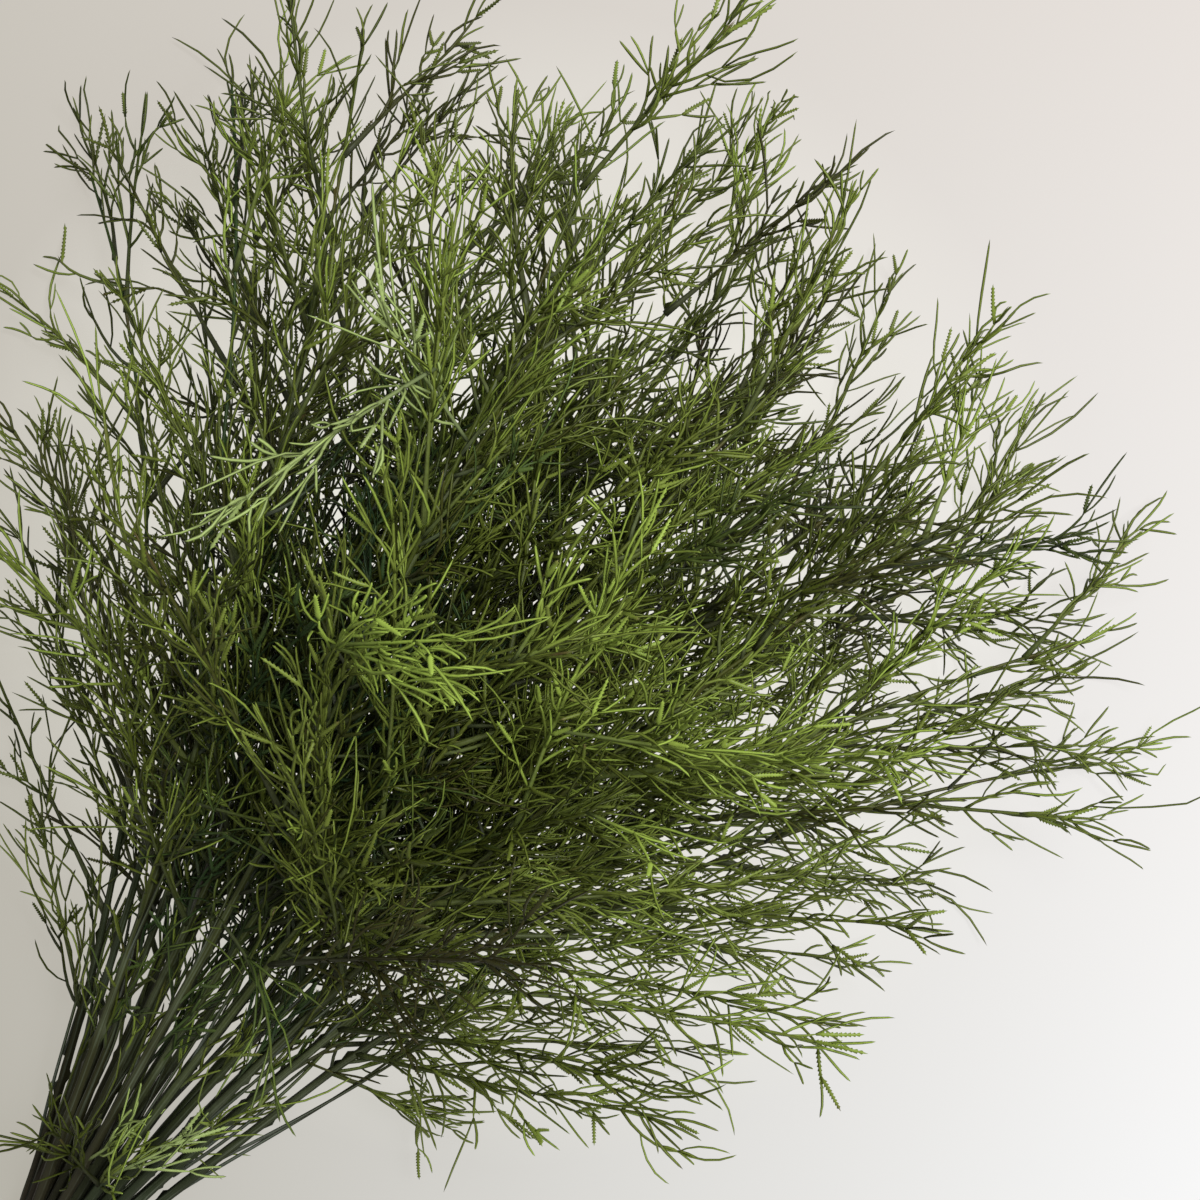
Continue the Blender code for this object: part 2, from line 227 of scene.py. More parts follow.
# Thread-like leaves
THREAD_PITCH = 5.6 * MM
THREAD_LENGTH = (9 * MM, 21 * MM)
THREAD_ANGLE = (16.0, 54.0)
THREAD_RADIUS = (0.27 * MM, 0.42 * MM)
THREAD_FLATNESS = 0.7
THREAD_PROFILE = ((0.0, 0.7), (0.2, 0.85), (0.45, 1.0), (0.7, 0.95), (0.92, 0.7))  # its radius, by share
THREAD_SIDES = 3
THREAD_TAPER = (1.05, 0.8)  # of their length, along what they grow on
THREAD_ROLL = 35.0
THREAD_BEND = 0.75  # how much one curves sideways, as a slope
TURN_BACK = (0.2, 1.4)  # how far its middle turns towards what it grows on, as a share
TURN_AWAY = (-0.8, 1.0)  # how far its end turns away again
LONG_SHARE = 0.2  # of the leaves, which are this many times as long and as bent
LONG = 1.8
LONG_BEND = 1.6
FORKED_SHARE = 0.2  # of the leaves on a twig
FORKED_STALK = 0.55  # its length before it forks and that of its arms, as shares of a leaf's
FORKED_RADIUS = (0.38 * MM, 0.32 * MM)
FORKED_RING = 3 * MM
FORKED_TURN = (0.0, 1.2)
FORKED_ROLL = 40.0
FORKED_TONE = -0.06
FORKED_WOOD = (0.15, 0.1)
FORK_ANGLE = (12.0, 32.0)
FORK_LENGTH = 12 * MM
FORK_SPREAD = (0.8, 1.2)  # of the length of its arms
FORK_PLACE = 0.6  # of the way along the last piece of what forks
BARBED_SHARE = 0.24  # of the fork arms
BARBED_SIDES = 4
BARBED_TURN = (-0.3, 0.6)
BARBED_TIP = 0.6  # of its thickness and of its teeth, at its end
BARBS = 10  # segments of a barbed arm, each with a tooth to both sides
BARB = 0.5 * MM
BARB_LEAN = 0.8  # how much a tooth points along the leaf, as a slope

# How fresh and light the foliage is, with painted light on the upper layers, and how blue or pale, the pale
# partly a painted sheen
TONE = (0.18, 0.39)  # on the surface and at a height of TALL: higher sprays are lighter, a painted light on the upper layers
TALL = 110 * MM
TONE_SPREAD = 0.14  # between sprays
LEAF_TONE_SPREAD = 0.12  # and between the leaves of a spray
HUE = (0.2, 1.0)
FOLIAGE_MIDDLE = Vector((0.185, 0.0, 0.05))
FOLIAGE_REACH = 0.17
OUTER_TONE = 0.17  # how much lighter it is this far from its middle
FRESH_AND_PAINTED_LIGHT_SPOTS = (  # place, reach and strength of lighter spots, partly fresher leaves and partly painted light on near sprays: below 0 is darker
    ((0.208, 0.001, 0.105), 0.024, 0.16),
    ((0.236, -0.024, 0.105), 0.022, 0.16),
    ((0.202, -0.060, 0.080), 0.032, 0.26),
    ((0.228, 0.042, 0.105), 0.024, 0.15),
    ((0.065, -0.008, 0.030), 0.018, 0.65),
    ((0.306, -0.144, 0.020), 0.034, 0.22),
    ((0.180, -0.085, 0.040), 0.065, 0.22),
    ((0.203, 0.026, 0.060), 0.045, -0.14),
    ((0.165, 0.010, 0.050), 0.052, -0.14),
)
BLUE_SPOTS = (
    ((0.236, 0.010, 0.060), 0.034, 0.4),
    ((0.175, 0.014, 0.050), 0.040, 0.4),
    ((0.110, 0.010, 0.035), 0.040, 0.5),
)
# Where the leaves turn a paler grey-green: partly a paler leaf colour, partly a painted sheen
PALE_AND_SHEEN_SPOTS = (
    ((0.226, 0.044, 0.105), 0.024, 1.0),
    ((0.251, 0.040, 0.100), 0.018, 1.0),
)

# Sprays that lie on top of the others: about where each grows and ends, its tone and its hue
TOP_SPRAYS = (
    ((0.250, 0.009, 0.090), (0.264, 0.058, 0.112), 0.72, 1.55),
    ((0.257, 0.036, 0.095), (0.201, 0.049, 0.132), 0.72, 1.55),
    ((0.190, 0.020, 0.115), (0.219, -0.012, 0.138), 0.95, 0.9),
    ((0.190, 0.016, 0.115), (0.209, -0.016, 0.136), 0.92, 0.8),
    ((0.188, 0.018, 0.115), (0.215, 0.012, 0.139), 0.90, 0.9),
    ((0.222, -0.018, 0.110), (0.245, -0.016, 0.128), 0.74, 0.8),
    ((0.222, -0.018, 0.110), (0.238, -0.030, 0.128), 0.70, 0.8),
    ((0.205, -0.042, 0.090), (0.237, -0.090, 0.098), 0.72, 0.7),
    ((0.192, -0.050, 0.085), (0.202, -0.072, 0.100), 0.80, 0.8),
    ((0.045, -0.004, 0.030), (0.076, -0.020, 0.042), 0.90, 1.6),
    ((0.042, 0.002, 0.030), (0.070, -0.006, 0.044), 0.90, 1.5),
)
TOP_LENGTH = 1.05  # of one along its arch, as a share of the straight distance
TOP_END = 13 * MM  # what its leaves add to that
TOP_ARCH = 0.35  # the slope at which it sets off, and at which it ends
TOP_PITCH = (7.0 * MM, 3.6 * MM)  # between its twigs, and between its leaves
TOP_THICKNESS = 1.2  # of its leaves, as a share of the others'

# The map that colours are baked to, measured in faces of a strand
BAKE_MAP = "OFBake"
MAP_GAP = 0.4
TALLEST_CELL = 30
CUT_ROOM = 6  # for a stem's cut end
ROOT_DISC = 0.4  # radius of a root face there, as a share of its room

# The rubber band
WINDINGS = 3
BAND_STRIP = 1.7 * MM  # its width, once
BAND_SQUARENESS = 0.5  # exponent of its section: 1 is an ellipse, and less is squarer
BAND_SIDES = 16
BAND_PLACES = 96  # in each winding
CROSSING = 0.1  # share of its length in which it crosses back over its own windings, on top
CROSSING_RAMP = 0.15  # of the crossing, for its rise and for its fall
TOP_PULL = 0.1  # how much the place of the crossing is drawn to the middle of the bundle

UP = Vector((0, 0, 1))


def mix(a, b, share):
    return a + (b - a) * share


def at_share(profile, share):
    """What a profile of (share, value) pairs gives at a share."""
    for (a, low), (b, high) in zip(profile, profile[1:]):
        if share <= b:
            return mix(low, high, (share - a) / (b - a))
    return profile[-1][1]


def ease(share):
    """From 0 to 1, level at both ends."""
    share = min(max(share, 0.0), 1.0)
    return share * share * (3 - 2 * share)


def heading(turn, rise):
    """The direction at these angles from +X in plan and above the surface, in degrees."""
    turn, rise = math.radians(turn), math.radians(rise)
    level = math.cos(rise)
    return Vector((math.cos(turn) * level, math.sin(turn) * level, math.sin(rise)))


def cross_axes(direction):
    """The level direction across a line, and the one that is up from it."""
    across = UP.cross(direction)
    if across.length < 0.05:
        across = Vector((0, 1, 0)).cross(direction)
    across.normalize()
    return across, direction.cross(across)


def sideways(direction, azimuth):
    """The direction out from a line, at an azimuth in degrees: 0 is level, -90 is down."""
    across, up = cross_axes(direction)
    angle = math.radians(azimuth)
    return across * math.cos(angle) + up * math.sin(angle)


class Limb:
    """A stem, branch or twig: the points that it passes through, with its radius at each."""

    def __init__(self, points, radii):
        self.points = points
        self.radii = radii

    def direction(self, i):
        """Its direction at point i, between those of the pieces that meet there."""
        before = self.points[max(i - 1, 0)]
        after = self.points[min(i + 1, len(self.points) - 1)]
        return (after - before).normalized()

    def samples(self, spacing):
        """Points close together along it, each with its radius."""
        for i in range(len(self.points) - 1):
            start, end = self.points[i], self.points[i + 1]
            count = max(1, math.ceil((end - start).length / spacing))
            for k in range(count):
                share = k / count
                yield start.lerp(end, share), mix(self.radii[i], self.radii[i + 1], share)
        yield self.points[-1], self.radii[-1]

    def smooth(self, spacing):
        """A smooth line through its points: places close together, with the direction at each."""
        places = []
        for i in range(len(self.points) - 1):
            start, end = self.points[i], self.points[i + 1]
            reach = (end - start).length / 3
            count = max(1, round(3 * reach / spacing))
            handles = start + self.direction(i) * reach, end - self.direction(i + 1) * reach
            places += interpolate_bezier(start, *handles, end, count + 1)[:-1]
        places.append(self.points[-1].copy())
        ways = []
        for i in range(len(places)):
            ways.append((places[min(i + 1, len(places) - 1)] - places[max(i - 1, 0)]).normalized())
        return places, ways


class Space:
    """The places that limbs already take, so that no stem grows through another."""

    def __init__(self):
        self.cells = {}

    @staticmethod
    def cell(point):
        return tuple(math.floor(c / CELL) for c in point)

    def take(self, limb, stem):
        for point, radius in limb.samples(SAMPLE):
            self.cells.setdefault(self.cell(point), []).append((point, radius, stem))

    def is_free(self, limb, stem):
        root = limb.points[0]
        for point, radius in limb.samples(SAMPLE):
            near_root = (point - root).length < ROOT_REACH
            x, y, z = self.cell(point)
            for i in (x - 1, x, x + 1):
                for j in (y - 1, y, y + 1):
                    for k in (z - 1, z, z + 1):
                        for other, thick, owner in self.cells.get((i, j, k), ()):
                            if near_root and owner == stem:
                                continue
                            if (point - other).length < radius + thick + CLEARANCE:
                                return False
        return True


def bundle_places():
    """Where each stem passes through the band: y, z, its share across it (-1 to 1), and its layer."""
    pitch = 2 * STEM_RADIUS + STEM_GAP
    lowest = BAND_THICKNESS + BAND_GAP + STEM_RADIUS
    half_width = (max(STEMS_IN_LAYER) - 1) / 2
    places = []
    for layer, count in enumerate(STEMS_IN_LAYER):
        height = lowest + layer * pitch * math.sin(math.radians(60))
        for k in range(count):
            from_middle = k - (count - 1) / 2
            places.append((from_middle * pitch, height, from_middle / half_width, layer))
    return places


def stem_limb(number, place):
    """The stem from its cut end, through the band and past each of its nodes, to its top."""
    y, z, share, layer = place
    draw = random.Random(number)
    length = FAN_LENGTH * mix(1, OUTER_STEM_SHARE, share * share) * draw.uniform(*STEM_SPREAD)
    cut = CUT_LENGTH * draw.uniform(*CUT_UNEVENNESS)
    fan = FAN_ANGLE * share + draw.uniform(-FAN_STRAY, FAN_STRAY)
    bend = OUTWARD_BEND * share + draw.uniform(-BEND_STRAY, BEND_STRAY)
    rise = LAYER_RISE[layer] * mix(1, OUTER_RISE_SHARE, share * share)
    sag = TIP_SAG * min(1, rise / LAYER_RISE[1]) + draw.uniform(-SAG_STRAY, SAG_STRAY)
    points = [
        Vector((-cut, y * (1 + CUT_SPREAD), z)),
        Vector((-BAND_WIDTH, y, z)),
        Vector((BAND_WIDTH, y, z)),
    ]
    radii = [STEM_RADIUS * CUT_END_SHARE, STEM_RADIUS, STEM_RADIUS]
    low_node = LOW_SPRAYS[number][0] if number in LOW_SPRAYS else LOW_NODE
    first = mix(*FIRST_BRANCH, layer / (len(STEMS_IN_LAYER) - 1))
    stops = [low_node / length]
    for k in range(BRANCHES):
        stray = draw.uniform(-NODE_STRAY, NODE_STRAY)
        stops.append(mix(first, LAST_BRANCH, (k + stray) / (BRANCHES - 1)))
    stops.append(1.0)
    at = BAND_WIDTH / length
    for stop in stops:
        middle = (at + stop) / 2
        way = heading(fan + bend * middle**BEND_POWER, rise - (rise + sag) * middle**SAG_POWER)
        point = points[-1] + way * (stop - at) * length
        radius = mix(STEM_RADIUS, STEM_TIP_RADIUS, stop)
        point.z = max(point.z, radius + SURFACE_GAP)
        points.append(point)
        radii.append(radius)
        at = stop
    return Limb(points, radii)


def side_limb(root, parent_way, side, angle, turn_back, sag, stops, length, radii):
    """A branch or a twig: it leaves its parent at an angle, turns towards the parent's way, and sags."""
    angle = math.radians(angle)
    start = parent_way * math.cos(angle) + side * math.sin(angle)
    points = [root]
    at = 0.0
    for stop, radius in zip(stops, radii[1:]):
        middle = (at + stop) / 2
        way = start.lerp(parent_way, turn_back * middle) - UP * sag * middle
        point = points[-1] + way.normalized() * (stop - at) * length
        point.z = max(point.z, radius + SURFACE_GAP)
        points.append(point)
        at = stop
    return Limb(points, radii)


def dips(limb, depth):
    """Whether the limb sets off so steeply downwards that it would end this deep under the surface."""
    first, last = limb.points[0], limb.points[-1]
    return first.z + limb.direction(0).z * (last - first).length < -depth


def branch_limb(stem, number, node, space):
    """The branch at one of the stem's nodes, or None where there is no room for it."""
    way = stem.direction(FIRST_NODE + node)
    share = max(0, node - 1) / (BRANCHES - 1)
    draw = random.Random(BRANCH_SEED + number * 50 + node)
    for attempt in range(TRIES):
        if node == 0:
            _, side, angle, length = LOW_SPRAYS[number]
        else:
            side = 2 * node + number + attempt
            angle = mix(*BRANCH_ANGLE, share) + draw.uniform(-BRANCH_STRAY, BRANCH_STRAY)
            length = mix(*BRANCH_LENGTH, share) * draw.uniform(*BRANCH_SPREAD)
            length *= mix(1, BRANCH_SHRINK, attempt / TRIES)
        azimuth = -90 + side % STEM_AZIMUTHS * 360 / STEM_AZIMUTHS
        limb = side_limb(
            stem.points[FIRST_NODE + node],
            way,
            sideways(way, azimuth),
            angle,
            draw.uniform(*BRANCH_TURN),
            draw.uniform(*BRANCH_SAG),
            (*BRANCH_NODES, 1.0),
            length,
            [BRANCH_ROOT_RADIUS, *(mix(*BRANCH_RADIUS, s) for s in (0, 0.5, 1)), TWIG_RADIUS[1]],
        )
        if not dips(limb, DEEPEST_BRANCH) and space.is_free(limb, number):
            space.take(limb, number)
            return limb
    return None


def twig_limb(branch, node, azimuth, seed, number, space):
    """The twig on one side of a branch's node, or None where there is no room for it."""
    way = branch.direction(node)
    draw = random.Random(seed)
    reach = (branch.points[-1] - branch.points[0]).length
    fullness = mix(SHORT_TWIG_SHARE, 1, min(1, reach / BRANCH_LENGTH[0]))
    for attempt in range(TRIES // 2):
        limb = side_limb(
            branch.points[node],
            way,
            sideways(way, azimuth),
            draw.uniform(*TWIG_ANGLE),
            draw.uniform(*TWIG_TURN),
            TWIG_SAG,
            (1.0,),
            draw.uniform(*TWIG_LENGTH) * fullness * mix(1, TWIG_SHRINK, attempt / TRIES),
            TWIG_RADIUS,
        )
        if not dips(limb, DEEPEST_TWIG) and space.is_free(limb, number):
            space.take(limb, number)
            return limb
    return None


def grow_bunch():
    """Every stem with its branches, and each with its twigs. Nodes are grown in turn on all stems."""
    space = Space()
    plants = []
    for number, place in enumerate(bundle_places()):
        stem = stem_limb(number, place)
        space.take(stem, number)
        plants.append({"stem": stem, "branches": [], "share": place[2]})
    for node in range(BRANCHES + 1):
        for number, plant in enumerate(plants):
            if node > 0 or number in LOW_SPRAYS:
                limb = branch_limb(plant["stem"], number, node, space)
                if limb:
                    plant["branches"].append({"limb": limb, "node": node, "twigs": []})
    for number, plant in enumerate(plants):
        for branch in plant["branches"]:
            for node in range(1, len(BRANCH_NODES) + 1):
                level = 90 * ((branch["node"] + node) % 2)
                for azimuth in (level, level + 180):
                    seed = TWIG_SEED + ((number * 20 + branch["node"]) * 5 + node) * 400 + azimuth
                    twig = twig_limb(branch["limb"], node, azimuth, seed, number, space)
                    if twig:
                        branch["twigs"].append(twig)
    return plants


def inside(point, margin):
    """The point, kept off the surface and within the bunch's own box."""
    low, high = cad_box
    return Vector(min(max(p, a + margin), b - margin) for p, a, b in zip(point, low, high))


class Strand:
    """Something long and thin as it looks: places along its middle, and its direction and radius at each.

    Its tone runs from dark to fresh green, with painted light in it, and its hue from bluish over
    yellowish to pale, the pale partly a painted sheen. Wood is 1 on an old stem, and is given for its root
    and its tip. Teeth are side faces drawn out, listed with their side and reach by the number of their
    place.
    """

    def __init__(self, places, ways, radii, tone, hue, wood=(0.0, 0.0), flat=1.0, ridge=0.0):
        self.places = [inside(place, radius) for place, radius in zip(places, radii)]
        self.ways = ways
        self.radii = radii
        self.tone = tone
        self.hue = hue
        self.wood = wood
        self.flat = flat
        self.ridge = ridge
        self.teeth = {}
        self.sides = 0
        self.root_room = MAP_GAP

    def map_height(self):
        return min(len(self.places) - 1, TALLEST_CELL)

    def section(self, i, circle):
        """Its corners at place i, anticlockwise seen from its far end, with a flat side underneath."""
        across, up = cross_axes(self.ways[i])
        radius = self.radii[i]
        up = up * (radius * self.flat)
        across = across * radius
        corners = []
        for k, (x, y) in enumerate(circle):
            reach = 1 + self.ridge * (-1) ** k
            corners.append(self.places[i] + across * (x * reach) + up * (y * reach))
        return corners

    def look(self, i):
        """What its finish reads at place i."""
        along = i / (len(self.places) - 1)
        return along, self.tone, self.hue, mix(*self.wood, along)


def circle_points(sides):
    angles = [math.radians(-90 + 360 / sides * (k + 0.5)) for k in range(sides)]
    return [(math.cos(a), math.sin(a)) for a in angles]


def new_mesh():
    """An empty mesh with what its finish reads: where a point is on its strand, and how it is coloured."""
    mesh = bmesh.new()
    mesh.verts.layers.int.new("strand")
    mesh.verts.layers.float.new("corner")
    mesh.verts.layers.float_color.new("look")
    mesh.verts.layers.float_vector.new("grain")
    mesh.loops.layers.uv.new(BAKE_MAP)
    return mesh


def layers(mesh):
    """What new_mesh() gives each vertex: its strand, its corner there, its look and its grain."""
    kinds = mesh.verts.layers
    return kinds.int["strand"], kinds.float["corner"], kinds.float_color["look"], kinds.float_vector["grain"]


def draw_out(mesh, strands, batch, sides):
    """Draws every strand of a batch out of its root face together, ring by ring, and ends each in a point.
    The batch is a range of the numbers of these strands, which are all of the mesh's."""
    owner, corner, look, grain = layers(mesh)
    circle = circle_points(sides)
    growing = []
    for n in batch:
        strand = strands[n]
        strand.sides = sides
        verts = []
        for k, place in enumerate(strand.section(0, circle)):
            vert = mesh.verts.new(place)
            vert[owner] = n
            vert[corner] = k
            vert[look] = strand.look(0)
            vert[grain] = (*circle[k], 0)
            verts.append(vert)
        growing.append(mesh.faces.new(verts))
    step = 0
    ends = []
    teeth = {}
    while growing:
        step += 1
        region = [part for face in growing for part in (face, *face.edges)]
        made = bmesh.ops.extrude_face_region(mesh, geom=region)["geom"]
        sections = {}
        growing = []
        for part in made:
            if isinstance(part, bmesh.types.BMVert):
                n = part[owner]
                if n not in sections:
                    strand = strands[n]
                    height = (strand.places[step] - strand.places[0]).length
                    sections[n] = strand.section(step, circle), strand.look(step), height
                corners, shade, height = sections[n]
                k = int(part[corner])
                part.co = corners[k]
                part[look] = shade
                part[grain] = (*circle[k], height)
            elif isinstance(part, bmesh.types.BMFace):
                strand = strands[part.verts[0][owner]]
                if step < len(strand.places) - 2:
                    growing.append(part)
                else:
                    ends.append(part)
                for side, reach in strand.teeth.get(step, ()):
                    face = side_face(part, {side, (side + 1) % sides}, corner)
                    teeth[frozenset(face.verts)] = face, side, reach
    for vert in bmesh.ops.poke(mesh, faces=ends)["verts"]:
        n = vert.link_edges[0].other_vert(vert)[owner]
        strand = strands[n]
        vert.co = strand.places[-1]
        vert[look] = strand.look(len(strand.places) - 1)
        vert[owner] = n
        vert[corner] = sides / 2
    raise_teeth(mesh, teeth)


def side_face(end, corners, layer):
    """The face behind an end face, between two of its corners."""
    edge = next(e for e in end.edges if {vert[layer] for vert in e.verts} == corners)
    return next(face for face in edge.link_faces if face != end)


def raise_teeth(mesh, teeth):
    """Draws a tooth out of each of these side faces."""
    if teeth:
        owner, corner, look, grain = layers(mesh)
        faces = [face for face, _, _ in teeth.values()]
        for vert in bmesh.ops.poke(mesh, faces=faces)["verts"]:
            around = [edge.other_vert(vert) for edge in vert.link_edges]
            _, side, reach = teeth[frozenset(around)]
            vert.co = inside(vert.co + reach, 0)
            vert[owner] = around[0][owner]
            vert[corner] = side + 0.5
            vert[look] = sum((other[look] for other in around), Vector((0, 0, 0, 0))) / len(around)
            vert[grain] = sum((other[grain] for other in around), Vector((0, 0, 0))) / len(around)


def bowed(root, directions, length, shares):
    """A curved line from a root, whose direction goes from the first of three towards the second, then to
    the third: its places and its directions there."""
    first, second, third = directions

    def direction(share):
        return first.lerp(second, share).lerp(second.lerp(third, share), share).normalized()

    places = [root]
    for before, share in zip(shares, shares[1:]):
        places.append(places[-1] + direction((before + share) / 2) * ((share - before) * length))
    return places, [direction(share) for share in shares]


def even_shares(length, spacing):
    count = max(3, round(length / spacing))
    return [k / count for k in range(count + 1)]


def stations(places, first, pitch, draw, until=1.0):
    """Roots spaced along a line from its place number first on: each with its place number and share."""
    steps = [(b - a).length for a, b in zip(places, places[1:])]
    total = sum(steps)
    travelled = sum(steps[:first])
    due = travelled + pitch * draw.uniform(*FIRST_STEP)
    for i in range(first, len(steps)):
        while due < min(travelled + steps[i], total * until):
            yield i, places[i].lerp(places[i + 1], (due - travelled) / steps[i]), due / total
            due += pitch * draw.uniform(*STEP)
        travelled += steps[i]


def by_side(pair, share):
    """What applies at a share across the bundle: 1 in the middle, and one of a pair at its right or left."""
    return mix(1, pair[0 if share < 0 else 1], share**2)


def nearness(place, spots):
    """How much of these spots' strength reaches a place."""
    total = 0.0
    for (x, y, z), reach, strength in spots:
        total += strength * math.exp(-(((place - Vector((x, y, z))).length / reach) ** 2))
    return total


class Foliage:
    """All the twigs and leaves that are drawn for one stem, in batches of like fineness."""

    def __init__(self, draw, openness):
        self.draw = draw
        self.openness = openness
        self.limbs = []
        self.twigs = []
        self.threads = []
        self.barbed = []
        self.thickness = 1.0

    def tint(self, place):
        """The tone and hue of a spray: higher ones are lighter, a painted light on the upper layers, and
        ones far from the middle are lighter too.
        """
        tone = mix(*TONE, place.z / TALL) + self.draw.gauss(0, TONE_SPREAD) + nearness(place, FRESH_AND_PAINTED_LIGHT_SPOTS)
        tone += OUTER_TONE * ease((place - FOLIAGE_MIDDLE).length / FOLIAGE_REACH)
        hue = self.draw.uniform(*HUE) - nearness(place, BLUE_SPOTS) + nearness(place, PALE_AND_SHEEN_SPOTS)
        return tone, hue

    def lean(self, way, azimuth, angle):
        """The direction at this angle from a line, to the side that the azimuth gives."""
        angle = math.radians(angle)
        return way * math.cos(angle) + sideways(way, azimuth) * math.sin(angle)

    def stray(self, way, most=THREAD_BEND):
        """A random sideways part of a direction."""
        return sideways(way, self.draw.uniform(0, 360)) * most * self.draw.random()

    def thread(self, root, way, azimuth, angle, length, tint):
        """One thread-like leaf. Most curve back along what they grow on, and away again at their ends."""
        draw = self.draw
        start = self.lean(way, azimuth, angle)
        bend = THREAD_BEND
        if draw.random() < LONG_SHARE:
            length *= LONG
            bend *= LONG_BEND
        middle = start.lerp(way, draw.uniform(*TURN_BACK)) + self.stray(way, bend) * 0.5
        end = middle.lerp(start, draw.uniform(*TURN_AWAY)) + self.stray(way, bend)
        thick = draw.uniform(*THREAD_RADIUS) * self.thickness
        shares = [share for share, _ in THREAD_PROFILE] + [1.0]
        radii = [thick * radius for _, radius in THREAD_PROFILE] + [0.0]
        places, ways = bowed(root, (start, middle, end), length, shares)
        tone, hue = tint
        tone += draw.gauss(0, LEAF_TONE_SPREAD)
        self.threads.append(Strand(places, ways, radii, tone, hue, flat=THREAD_FLATNESS))

    def barbed_thread(self, root, way, azimuth, angle, length, tint):
        """One leaf with teeth along both its edges."""
        draw = self.draw
        start = self.lean(way, azimuth, angle)
        end = start.lerp(way, draw.uniform(*BARBED_TURN))
        middle = start.lerp(end, 0.5)
        thick = draw.uniform(*THREAD_RADIUS) * self.thickness
        shares = [k / (BARBS + 1) for k in range(BARBS + 2)]
        radii = [thick * mix(1, BARBED_TIP, share) for share in shares[:-1]] + [0.0]
        places, ways = bowed(root, (start, middle, end), length, shares)
        strand = Strand(places, ways, radii, *tint, flat=THREAD_FLATNESS)
        for k in range(2, BARBS + 1):
            across, _ = cross_axes(ways[k])
            reach = BARB * mix(1, BARBED_TIP, shares[k])
            lean = ways[k] * BARB_LEAN
            strand.teeth[k] = [(0, (lean + across) * reach), (2, (lean - across) * reach)]
        self.barbed.append(strand)

    def fork(self, root, way, azimuth, length, tint):
        """The two arms that a twig ends in."""
        draw = self.draw
        for side in (azimuth, azimuth + 180):
            kind = self.barbed_thread if draw.random() < BARBED_SHARE else self.thread
            kind(root, way, side, draw.uniform(*FORK_ANGLE), length * draw.uniform(*FORK_SPREAD), tint)

    def axis(self, root, directions, length, tint, spacing, radius, tone_change, wood):
        """The curved line that leaves grow on, from its radius at its root to that at its tip: it is added
        to the twigs, and its places and directions are given."""
        shares = even_shares(length, spacing)
        places, ways = bowed(root, directions, length, shares)
        radii = [mix(*radius, share) for share in shares]
        tone, hue = tint
        self.twigs.append(Strand(places, ways, radii, tone + tone_change, hue, wood))
        return places, ways

    def leaf(self, root, way, azimuth, angle, length, tint):
        """A leaf on a twig: a single thread, or one that forks."""
        draw = self.draw
        if draw.random() > FORKED_SHARE:
            self.thread(root, way, azimuth, angle, length, tint)
            return
        length *= FORKED_STALK
        start = self.lean(way, azimuth, angle)
        end = start.lerp(way, draw.uniform(*FORKED_TURN))
        middle = start.lerp(end, 0.5) + self.stray(way) * 0.5
        form = FORKED_RING, FORKED_RADIUS, FORKED_TONE, FORKED_WOOD
        places, ways = self.axis(root, (start, middle, end), length, tint, *form)
        end = places[-2].lerp(places[-1], FORK_PLACE)
        self.fork(end, ways[-1], draw.uniform(-FORKED_ROLL, FORKED_ROLL), length, tint)

    def leaves_along(self, places, ways, first, tint, roll, pitch=THREAD_PITCH):
        """Leaves to both sides of a line in turn, from its place number first on."""
        draw = self.draw
        turn = draw.choice((0, 180))
        for i, root, share in stations(places, first, pitch * self.openness, draw):
            azimuth = roll + turn + draw.uniform(-THREAD_ROLL, THREAD_ROLL)
            length = draw.uniform(*THREAD_LENGTH) * mix(*THREAD_TAPER, share)
            self.leaf(root, ways[i], azimuth, draw.uniform(*THREAD_ANGLE), length, tint)
            turn += 180

    def twig(self, root, tip, tint):
        """A twig with leaves along it and a forked end that reaches about as far as its tip."""
        draw = self.draw
        chord = tip - root
        way = chord.normalized()
        bow = sideways(way, draw.uniform(0, 360)) * draw.uniform(*TWIG_BOW)
        form = AXIS_RING, AXIS_RADIUS, TWIG_TONE, TWIG_WOOD
        places, ways = self.axis(root, (way + bow, way, way - bow), chord.length * AXIS_SHARE, tint, *form)
        roll = draw.gauss(0, TWIG_ROLL)
        self.leaves_along(places, ways, 1, tint, roll)
        end = places[-2].lerp(places[-1], FORK_PLACE)
        self.fork(end, ways[-1], roll, chord.length * (1 - AXIS_SHARE) + FORK_OVERLAP, tint)

    def branch(self, branch):
        """A branch with its main twigs, the fine twigs between them, and the leaves on it."""
        draw = self.draw
        limb = branch["limb"]
        places, ways = limb.smooth(BRANCH_RING)
        count = len(places) - 1
        tone, hue = self.tint(limb.points[2])
        radii = []
        for i in range(count + 1):
            share = i / count
            radii.append(max(mix(*BRANCH_FOOT, share / BRANCH_FOOT_SHARE), mix(*BRANCH_TAPER, share)))
        self.limbs.append(Strand(places, ways, radii, tone + BRANCH_TONE, hue, BRANCH_WOOD))
        for twig in branch["twigs"]:
            self.twig(twig.points[0], twig.points[-1], (tone + draw.gauss(0, TWIG_TONE_SPREAD), hue))
        turn = draw.choice((0, 90))
        pitch = mix(*TWIG_PITCH, branch["node"] / BRANCHES) * self.openness
        for i, root, share in stations(places, 2, pitch, draw, TWIGS_UNTIL):
            reach = draw.uniform(*FINE_TWIG_LENGTH) * mix(*FINE_TWIG_TAPER, share)
            azimuth = turn + draw.uniform(-FINE_TWIG_ROLL, FINE_TWIG_ROLL)
            tip = root + self.lean(ways[i], azimuth, draw.uniform(*FINE_TWIG_ANGLE)) * reach
            self.twig(root, tip, (tone + draw.gauss(0, TWIG_TONE_SPREAD), hue))
            turn += 180 + draw.choice((0, 0, 90))
        first = max(1, count // 3)
        self.leaves_along(places, ways, first, (tone, hue), draw.uniform(0, 180), BRANCH_LEAF_PITCH)
        self.fork(places[-2], ways[-1], draw.uniform(0, 180), FORK_LENGTH, (tone, hue))

